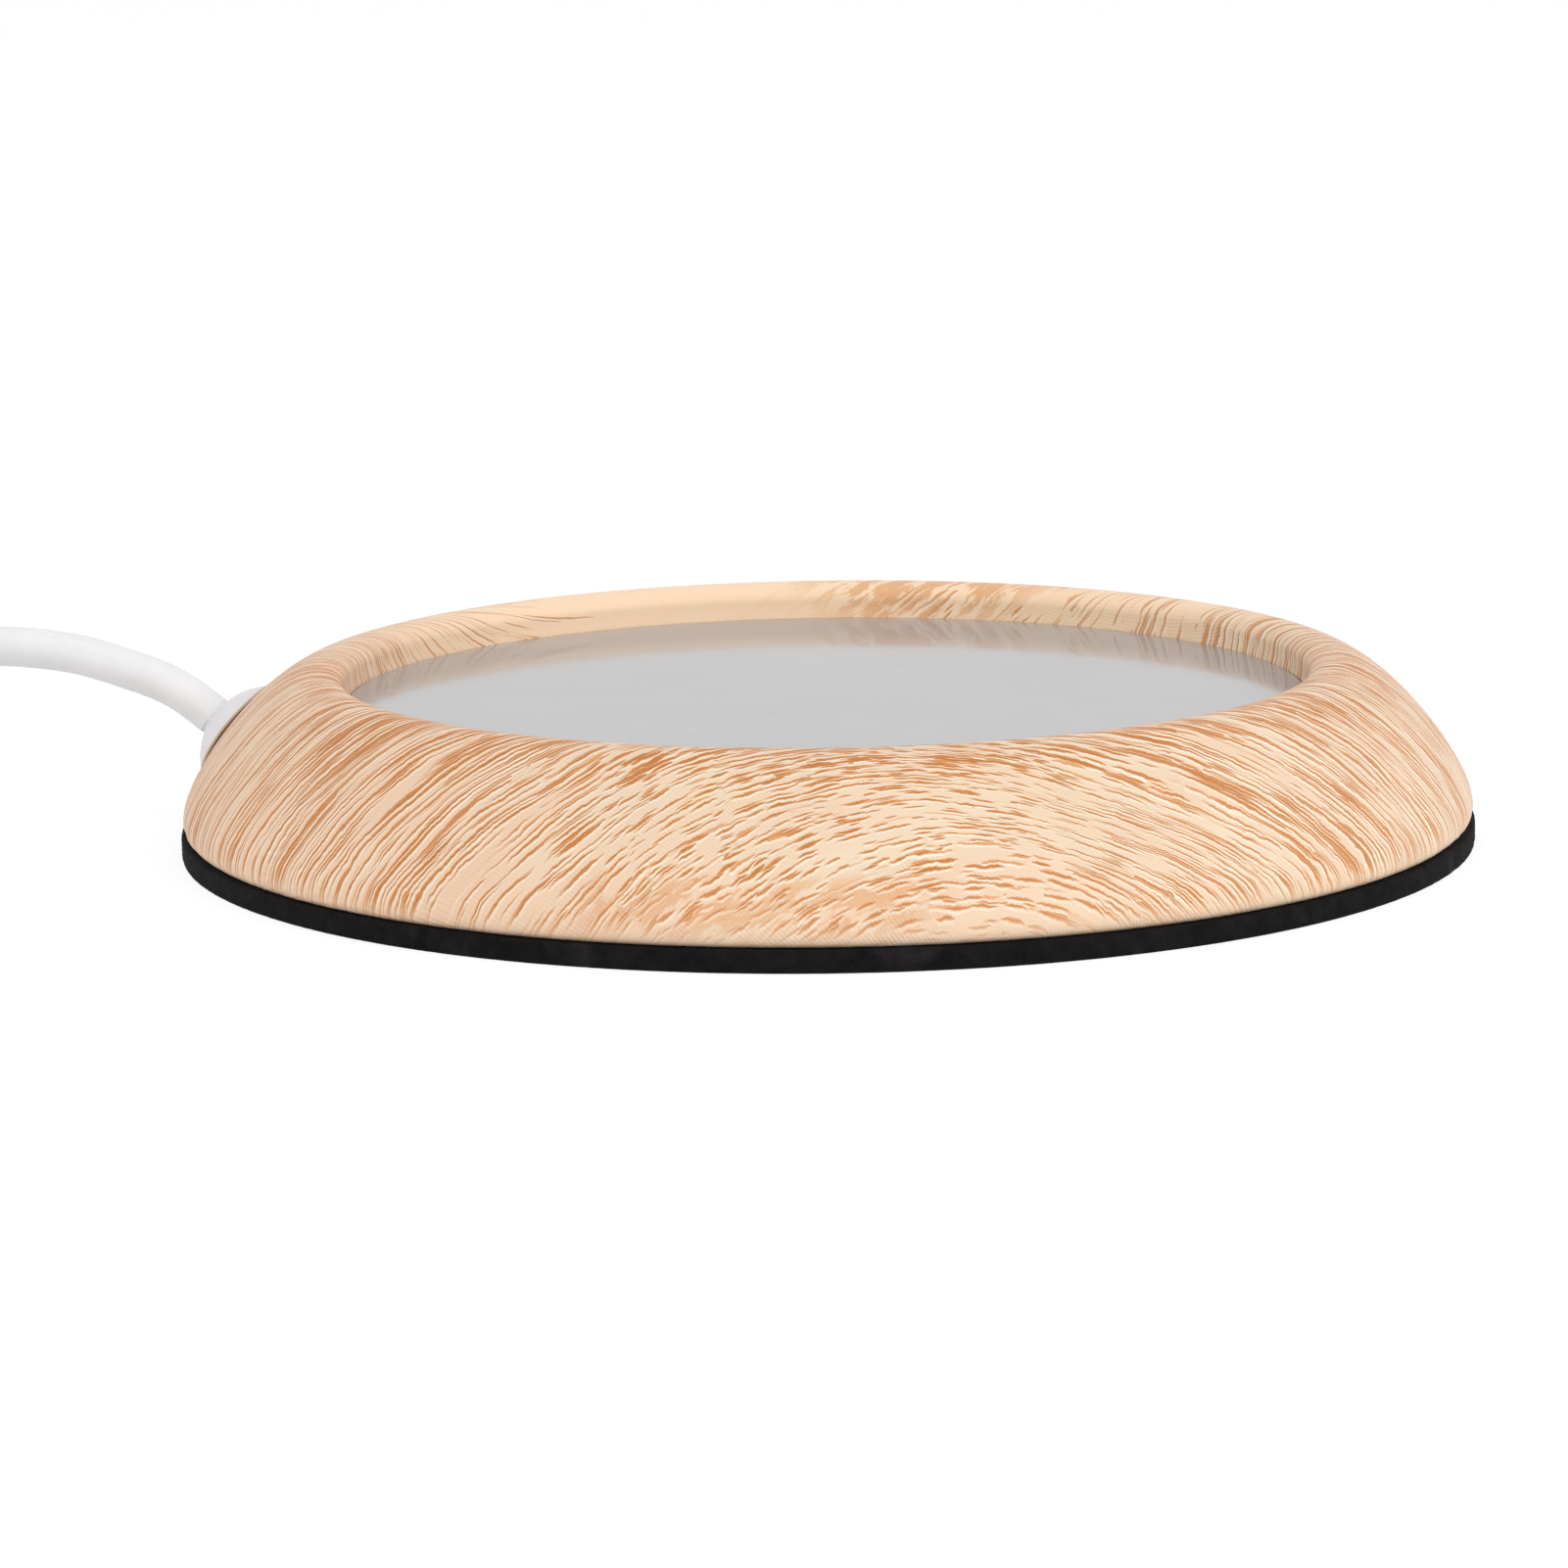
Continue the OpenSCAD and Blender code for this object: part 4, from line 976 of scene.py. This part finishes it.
def case_outline(s, inset):
    """The switch seen from above: parallel over the rocker, drawn in to rounded noses."""
    end, corner, flat = s.length / 2 - inset, 1.5 * MM, 8 * MM

    def half(x):
        u = max(0, (abs(x) - flat) / (s.length / 2 - flat))
        return s.width / 2 - (s.width - s.nose) / 2 * u * u - inset

    turn = []
    for a in range(0, 91, 15):
        across, ahead = polar(1, math.radians(a))
        turn.append((end - corner + corner * ahead, corner * (1 - across)))
    side = [(-x, half(x) - drop) for x, drop in turn[::-1]]
    side += [(x, half(x)) for x in np.linspace(-(end - corner), end - corner, 41)[1:-1]]
    side += [(x, half(x) - drop) for x, drop in turn]
    return side + [(x, -y) for x, y in side[::-1]]


def case_form(s, profile):
    """A rounded form over the switch's outline, from (inset, height) pairs in millimetres."""
    sections = [[Vector((x, y, z * MM)) + SWITCH_AT for x, y in case_outline(s, d * MM)] for d, z in profile]
    return mesh_of(*loft(sections))


def drawn_in(v, d):
    """v brought nearer to 0 by d."""
    return v - math.copysign(min(d, abs(v)), v)


class MUGWARMER_OT_switch(MugWarmerOperator, bpy.types.Operator):
    """Rounds the cases of the switch on the lead and makes its rocker"""

    bl_idname = "mugwarmer.switch"
    bl_label = "Switch on the lead"

    def build(self, s):
        c, h, seam = s.switch, s.switch.height / MM, s.switch.seam / MM
        low = [
            (2, 0), (1.35, 0.15), (1.03, 0.5), (1.0, 1.0), (0.15, 1.25), (0.03, 1.6), (0.03, seam - 0.3),
            (0.3, seam),
        ]
        high = [
            (0.3, seam), (0.03, seam + 0.3), (0.03, h - 1.9), (0.25, h - 1.55), (0.8, h - 1.2),
            (1.42, h - 0.95), (1.5, h - 0.6), (1.75, h - 0.28), (2.3, h - 0.06), (3, h),
        ]
        for name, node, profile in (
            ("switch_base", "switch_lower_case", low), ("switch_lid", "switch_upper_case", high),
        ):
            case = carve(cad_copy(node), case_form(c, profile), "INTERSECT")
            piece(name, case, "white_plastic", [node])
        self.rocker(c.rocker / MM / 2)

    def rocker(self, half):
        """The rocker with three ridges on each side, and the pins that it turns on."""
        top = [(-7, 3.3), (-6.85, 3.45), (-6.5, 3.5), (-5.9, 3.46)]
        for x in (-4.9, -4.0, -3.1):
            z = 3.4 - (x + 5.4) / 5.4 * 0.9
            top += [(x - 0.3, z + 0.03), (x - 0.12, z + 0.16), (x + 0.12, z + 0.13), (x + 0.3, z - 0.06)]
        top += [(-1.6, 2.72), (-0.6, 2.56)]
        outline = top + [(0, 2.53)] + [(-x, z) for x, z in top[::-1]]
        outline += [(6.4, -0.9), (2.2, -1.4), (1.2, -3.4), (-1.2, -3.4), (-2.2, -1.4), (-6.4, -0.9)]
        sections = []
        for y, d in (
            (-half, 0.3), (-half + 0.1, 0.1), (-half + 0.3, 0),
            (half - 0.3, 0), (half - 0.1, 0.1), (half, 0.3),
        ):
            sections.append(in_mm([(drawn_in(x, d), y, drawn_in(z, d)) for x, z in outline]))
        pin = lathe(in_mm([(0, -5.7), (1.0, -5.7), (1.2, -5.5), (1.2, 5.5), (1.0, 5.7), (0, 5.7)]), 40)
        parts = joined(loft(sections), moved(pin, Matrix.Rotation(math.pi / 2, 4, "X")))
        pivot = Matrix.Translation(SWITCH_AT + Vector((0, 0, PIVOT_HEIGHT)))
        place = pivot @ Matrix.Rotation(ROCKER_REST, 4, "Y")
        piece("switch_button", moved(parts, place), "rocker_plastic", ["switch_rocker"], "rocker")


class MUGWARMER_OT_plug(MugWarmerOperator, bpy.types.Operator):
    """Moulds the grip of the plug, with its strain relief"""

    bl_idname = "mugwarmer.plug"
    bl_label = "Plug"

    def build(self, s):
        # how far along, how wide and how high, in millimetres: the strain relief's rings, then the grip
        rings = [(0, 4.5, 4.5), (0.15, 4.9, 4.9)]
        for k in range(3):
            x, d = 1.1 + 1.6 * k, 5.2 + 0.45 * k
            for ahead, wider in ((0, 0), (0.15, -0.75), (0.55, -0.65), (0.7, 0.15)):
                rings.append((x + ahead, d + wider, d + wider))
        rings += [
            (5.9, 6.5, 6.5), (6.0, 9.6, 5.9), (6.12, 10.3, 6.4), (7.2, 11.6, 6.85), (8.6, 13.4, 7.45),
            (10.2, 15.0, 8.0), (11.4, 15.55, 8.15),
        ]
        for k in range(4):
            x = 14 + 2.6 * k
            for ahead, wide in ((-0.62, 15.55), (-0.45, 14.6), (0.45, 14.6), (0.62, 15.55)):
                rings.append((x + ahead, wide, 8.15))
        rings += [(31.2, 15.55, 8.15), (32.2, 15.3, 7.95), (32.8, 14.7, 7.35), (33.0, 13.9, 6.6)]
        sections = []
        for x, wide, high in rings:
            corner = 9 if x < 5.95 else 2.4
            sections.append(in_mm([(x, y, z) for y, z in rectangle(wide, high, corner)]))
        place = Matrix.Translation(PLUG_AT) @ Matrix.Rotation(PLUG_TURN, 4, "Z")
        piece("plug_moulding", moved(loft(sections), place), "white_plastic", ["plug_grip"])


class MUGWARMER_OT_lead(MugWarmerOperator, bpy.types.Operator):
    """Lays the lead from the gland to the switch, and from the switch round its coil to the plug"""

    bl_idname = "mugwarmer.lead"
    bl_label = "Lead"

    def build(self, s):
        path = curved(near_route(), 5)
        obj = piece("near_lead_jacket", tube(path, LEAD_RADIUS, 24), "white_pvc", ["near_lead"])
        path = far_route()
        nodes = ["far_lead", "lead_coil", "plug_lead"]
        obj = piece("far_lead_jacket", tube(path, LEAD_RADIUS, 24), "white_pvc", nodes)


# ---- the body -------------------------------------------------------------------------

GLAND_HOLE = 5.75         # radius in millimetres of the cover's hole for the gland
SHEET_STRETCH = 17.6      # farther out from the crown than this, in millimetres, the sheet is drawn longer


def lip_points():
    """The cover's edge inside the opening, down to the gasket."""
    edge = in_mm([(0.0, 14.6), (-0.04, 14.1), (-0.11, 13.6), (-0.13, 13.42)])
    return [Vector((opening_radius() + x, z)) for x, z in edge]


def sheet_places(mesh):
    """Where each point of the cover lay on the flat printed sheet, in millimetres."""
    foot, along, inner = 10, 90, 24
    pts = np.array(section(0, foot, along, inner) + lip_points())
    steps = np.concatenate([[0], np.cumsum(np.hypot(*np.diff(pts, axis=0).T))])
    co = np.array([v.co for v in mesh.vertices])
    r, a = np.hypot(co[:, 0], co[:, 1]), np.arctan2(co[:, 1], co[:, 0])
    best, best_d = np.zeros(len(co)), np.full(len(co), 1e9)
    for i in range(len(pts) - 1):
        u = pts[i + 1] - pts[i]
        t = np.clip(((r - pts[i, 0]) * u[0] + (co[:, 2] - pts[i, 1]) * u[1]) / (u @ u), 0, 1)
        d = np.hypot(r - pts[i, 0] - t * u[0], co[:, 2] - pts[i, 1] - t * u[1])
        near = d < best_d
        best_d[near] = d[near]
        best[near] = (steps[i] + t * (steps[i + 1] - steps[i]))[near]
    out = (steps[foot + along] - best) / MM
    drawn = 0.42 + 0.45 * np.clip(-np.sin(a), 0, 1) ** 4
    rho = crown_radius() / MM + np.minimum(out, SHEET_STRETCH) + np.clip(out - SHEET_STRETCH, 0, None) * drawn
    return np.stack([rho * np.cos(a), rho * np.sin(a), np.zeros(len(co))], 1)


class MUGWARMER_OT_cover(MugWarmerOperator, bpy.types.Operator):
    """Wraps the printed cover over the ring, turned under at the foot and into the opening"""

    bl_idname = "mugwarmer.cover"
    bl_label = "Printed cover"

    def build(self, s):
        r, lip = s.ring, lip_points()
        tuck = r.radius - 4 * MM
        outer, inner = section(0, 10, 64, 20), section(r.cover, 8, 40, 12)
        profile = [Vector((tuck, PAD_HIGH.z)), Vector((tuck + 1.4 * MM, PAD_HIGH.z))] + outer + lip
        profile += [lip[-1] + Vector((r.cover, 0)), Vector((opening_radius() + 1.1 * MM, 14.6 * MM))]
        profile += inner[::-1] + [Vector((tuck, PAD_HIGH.z + r.cover))]
        verts, faces = lathe(profile, r.segments, True)
        hole = lathe(in_mm([(0, -1), (GLAND_HOLE, -1), (GLAND_HOLE, 9), (0, 9)]), 96)
        mesh = mesh_of([self.gathered(*v) for v in verts], faces)
        mesh = carve(mesh, mesh_of(*moved(hole, gland_frame())))
        places = sheet_places(mesh).ravel().astype(np.float32)
        mesh.attributes.new("sheet", "FLOAT_VECTOR", "POINT").data.foreach_set("vector", places)
        finishes = [cover_print(), cover_edge()]
        piece("printed_cover", mesh, "wood_grain_cover", ["wood_grain_cover"], finishes=finishes)
        back = gland_frame().inverted()      # the wall of the hole shows the cut edge
        for f in mesh.polygons:
            c = back @ f.center
            if abs(math.hypot(c.x, c.y) - GLAND_HOLE * MM) < 0.03 * MM and -1.05 * MM < c.z < 0.2 * MM:
                f.material_index = 1
        smoothed(mesh)

    def gathered(self, x, y, z):
        """A point of the cover, drawn in where the skin is gathered low down, and softly all over."""
        a = math.atan2(y, x)
        low = max(0, 1 - abs(z - 2.9 * MM) / (1.5 * MM))
        pull = 0.14 * MM * low * (noise.noise(Vector((*polar(46, a), 0))) - 0.35)
        soft = 0.05 * MM * noise.noise(Vector((*polar(5, a), z * 160)))
        k = 1 + (min(0, pull) + min(0, soft)) / math.hypot(x, y)
        return x * k, y * k, z


class MUGWARMER_OT_foot(MugWarmerOperator, bpy.types.Operator):
    """Cuts the foam foot, with a slightly rough edge"""

    bl_idname = "mugwarmer.foot"
    bl_label = "Foam foot"

    def build(self, s):
        r, top, e = PAD_HIGH.x, PAD_HIGH.z, 0.22 * MM
        rings = [(0, 0)] + [(r * k / 12, 0) for k in range(2, 12)]
        rings += [(r - e, 0), (r - 0.3 * e, 0.28 * e), (r, e)]
        rings += [(r, e + (top - 2 * e) * k / 6) for k in range(1, 7)]
        rings += [(r - 0.3 * e, top - 0.28 * e), (r - e, top)]
        rings += [(r * k / 12, top) for k in range(11, 1, -1)] + [(0, top)]
        verts, faces = lathe(rings, 720)
        rough = []
        for x, y, z in verts:
            at = Vector((x, y, z))
            rim = min(1, max(0, (math.hypot(x, y) - r + 3 * e) / (3 * e)))
            d = 0.10 * noise.noise(at * 900) + 0.07 * noise.noise(at * 2600)
            k = 1 - rim * abs(d) * MM / r
            rough.append((x * k, y * k, z))
        obj = piece("foam_foot", (rough, faces), "foam_rubber", ["base_pad"])


class MUGWARMER_OT_plate(MugWarmerOperator, bpy.types.Operator):
    """Turns the warming plate and the gasket round it"""

    bl_idname = "mugwarmer.plate"
    bl_label = "Plate and gasket"

    def build(self, s):
        low, top, out, opening = PLATE_LOW.z, PLATE_HIGH.z, PLATE_HIGH.x, opening_radius()
        face, ledge, e = opening - 0.2 * MM, top - 0.6 * MM, 0.13 * MM
        profile = [(0, low), (out - e, low), (out, low + e), (out, ledge), (face, ledge)]
        for k in range(7):
            x, z = polar(e, math.radians(15 * k))
            profile.append((face - e + x, top - e + z))
        profile += [(face * k / 20, top - 0.02 * MM * (k / 19) ** 3) for k in range(19, 0, -1)] + [(0, top)]
        piece("plate_face", lathe(profile, 360), "plate_enamel", ["warming_plate"])

        inner, outer, step = face + 0.15 * MM, out - 0.25 * MM, opening + 1.75 * MM
        z, under = top - 0.15 * MM, top + 0.5 * MM
        profile = [
            (inner, ledge), (outer, ledge), (outer, under), (step, under), (step, z + 0.06 * MM),
            (step - 0.06 * MM, z), (inner + 0.08 * MM, z), (inner, z - 0.08 * MM),
        ]
        piece("gasket_ring", lathe(profile, 360, True), "silicone", ["plate_gasket"])


class MUGWARMER_OT_gland(MugWarmerOperator, bpy.types.Operator):
    """Turns the domed gland that the lead leaves through, and the welt of the cover round it"""

    bl_idname = "mugwarmer.gland"
    bl_label = "Gland"

    def build(self, s):
        welt = [
            (5.37, -1.0), (5.37, 0.08), (5.42, 0.22), (5.52, 0.28), (5.62, 0.25), (5.68, 0.16), (5.70, 0.06),
            (5.72, -1.0),
        ]
        verts, faces = lathe(in_mm(welt), 144, True)
        sagged = [(x, y, z - 0.6 * MM * (x / (5.6 * MM)) ** 2) for x, y, z in verts]
        part, finishes = moved((sagged, faces), gland_frame()), [cover_edge(), gap_shadow_line()]
        obj = piece("gland_welt", part, "wood_grain_cover", finishes=finishes)
        # faces on the welt's outer side take the painted shadow of the gap
        in_gap_shadow = [z < 0.065 * MM and math.hypot(x, y) > 5.69 * MM for x, y, z in verts]
        for f in obj.data.polygons:
            f.material_index = int(all(in_gap_shadow[i] for i in f.vertices))

        bore, flange, rise = 1.95, 5.3, 2.6
        ball = (flange**2 + rise**2) / (2 * rise)
        profile = []
        for k in range(25):
            r = bore + (flange - 0.12 - bore) * k / 24
            profile.append((r, 2.3 - ball + math.sqrt(ball**2 - r * r)))
        profile[0] = (bore, profile[0][1] - 0.12)
        profile += [
            (5.27, -0.33), (flange, -0.42), (flange, -0.9), (5.2, -1.0), (2.7, -1.0), (2.7, -3.0),
            (3.4, -3.0), (3.4, -4.0), (bore, -4.0),
        ]
        boot = moved(lathe(in_mm(profile), 144, True), gland_frame())
        finishes = [plastic("Soft white gland", tuple(s.finish.gland), 0.42, 700.0, 0.000008, 0.02)]
        piece("gland_boot", boot, "white_plastic", ["cable_gland"], finishes=finishes)


class MUGWARMER_OT_inside(MugWarmerOperator, bpy.types.Operator):
    """Gives every solid that stays its own finish"""

    bl_idname = "mugwarmer.inside"
    bl_label = "Finishes of the solids"

    def build(self, s):
        finishes = all_finishes()
        for row in frame["record"]["subparts"]:
            materials = frame["nodes"][row["node"]].data.materials
            materials.clear()
            materials.append(finishes[row["material_slot"]])


# ---- the stage --------------------------------------------------------------------------


def two_sided(n, output, light, look, share=1.0):
    """Surroundings that give one light, and look like another where the camera sees them, also in a gloss."""
    rays = n.values(n.add("LightPath").outputs)
    seen = n.most(rays["Is Camera Ray"], n.most(rays["Is Glossy Ray"], rays["Is Transmission Ray"]))
    both = n.add("MixShader", {0: seen * share, 1: light.outputs[0], 2: look.outputs[0]})
    n.add(output, {"Surface": both.outputs[0]})


class MUGWARMER_OT_stage(MugWarmerOperator, bpy.types.Operator):
    """Lays a white floor and sets soft light round the object"""

    bl_idname = "mugwarmer.stage"
    bl_label = "Floor and light"

    def build(self, s):
        scene = bpy.context.scene
        scene.view_settings.view_transform = "Standard"
        scene.world = bpy.data.worlds.new("surroundings")
        n = empty_tree(scene.world)
        light = n.add("Background", {"Color": (1.0, 0.995, 0.99), "Strength": s.stage.fill})
        white = n.add("Background", {"Color": (1, 1, 1), "Strength": 1.0})
        two_sided(n, "OutputWorld", light, white)

        mesh = bpy.data.meshes.new("floor")
        half = 4.0
        corners = ((-half, -half), (half, -half), (half, half), (-half, half))
        mesh.from_pydata([(x, y, -0.00002) for x, y in corners], [], [(0, 1, 2, 3)])
        mat = bpy.data.materials.new("Pale floor")
        n = empty_tree(mat)
        flat = n.add("BsdfDiffuse", {"Color": (0.93, 0.93, 0.93)})
        glow = n.add("Emission", {"Color": (1, 1, 1), "Strength": 1.09})
        two_sided(n, "OutputMaterial", flat, glow, 0.78)
        mesh.materials.append(mat)
        put("floor", mesh)

        for name, at, size, share in (
            ("key", (0.85, -0.4, 0.5), 0.55, 1.0),
            ("front", (0.0, -1.0, 0.14), 0.6, 0.56),
            ("left", (-0.85, -0.2, 0.4), 0.6, 0.28),
            ("overhead", (-0.10, -0.25, 0.85), 0.6, 0.20),
        ):
            data = bpy.data.lights.new(name, "AREA")
            data.shape, data.size, data.energy = "DISK", size, s.stage.key * share
            lamp = put(name, data)
            lamp.location = at
            lamp.rotation_euler = (-Vector(at)).to_track_quat("-Z", "Y").to_euler()


class MUGWARMER_PT_pieces(bpy.types.Panel):
    """Lists what can be made"""

    bl_idname = "MUGWARMER_PT_pieces"
    bl_label = "Mug warmer"
    bl_space_type = "VIEW_3D"
    bl_region_type = "UI"
    bl_category = "Mug warmer"

    def draw(self, context):
        for group in ("ring", "switch", "print", "finish", "stage"):
            box = self.layout.box()
            data = getattr(settings(), group)
            for key in data.__annotations__:
                box.prop(data, key)
        for op in OPERATORS:
            self.layout.operator(op.bl_idname)


OPERATORS = (
    MUGWARMER_OT_camera, MUGWARMER_OT_switch, MUGWARMER_OT_plug, MUGWARMER_OT_lead, MUGWARMER_OT_cover,
    MUGWARMER_OT_foot, MUGWARMER_OT_plate, MUGWARMER_OT_gland, MUGWARMER_OT_inside, MUGWARMER_OT_stage,
)
CLASSES = (
    MUGWARMER_PG_ring, MUGWARMER_PG_switch, MUGWARMER_PG_print, MUGWARMER_PG_finish, MUGWARMER_PG_stage,
    MUGWARMER_PG_all, *OPERATORS, MUGWARMER_PT_pieces,
)


def register():
    for cls in CLASSES:
        bpy.utils.register_class(cls)
    bpy.types.Scene.mug_warmer = PointerProperty(type=MUGWARMER_PG_all)


def unregister():
    del bpy.types.Scene.mug_warmer
    for cls in reversed(CLASSES):
        bpy.utils.unregister_class(cls)


def main():
    register()
    for op in OPERATORS:
        area, name = op.bl_idname.split(".")
        getattr(getattr(bpy.ops, area), name)()


if __name__ == "__main__":
    main()
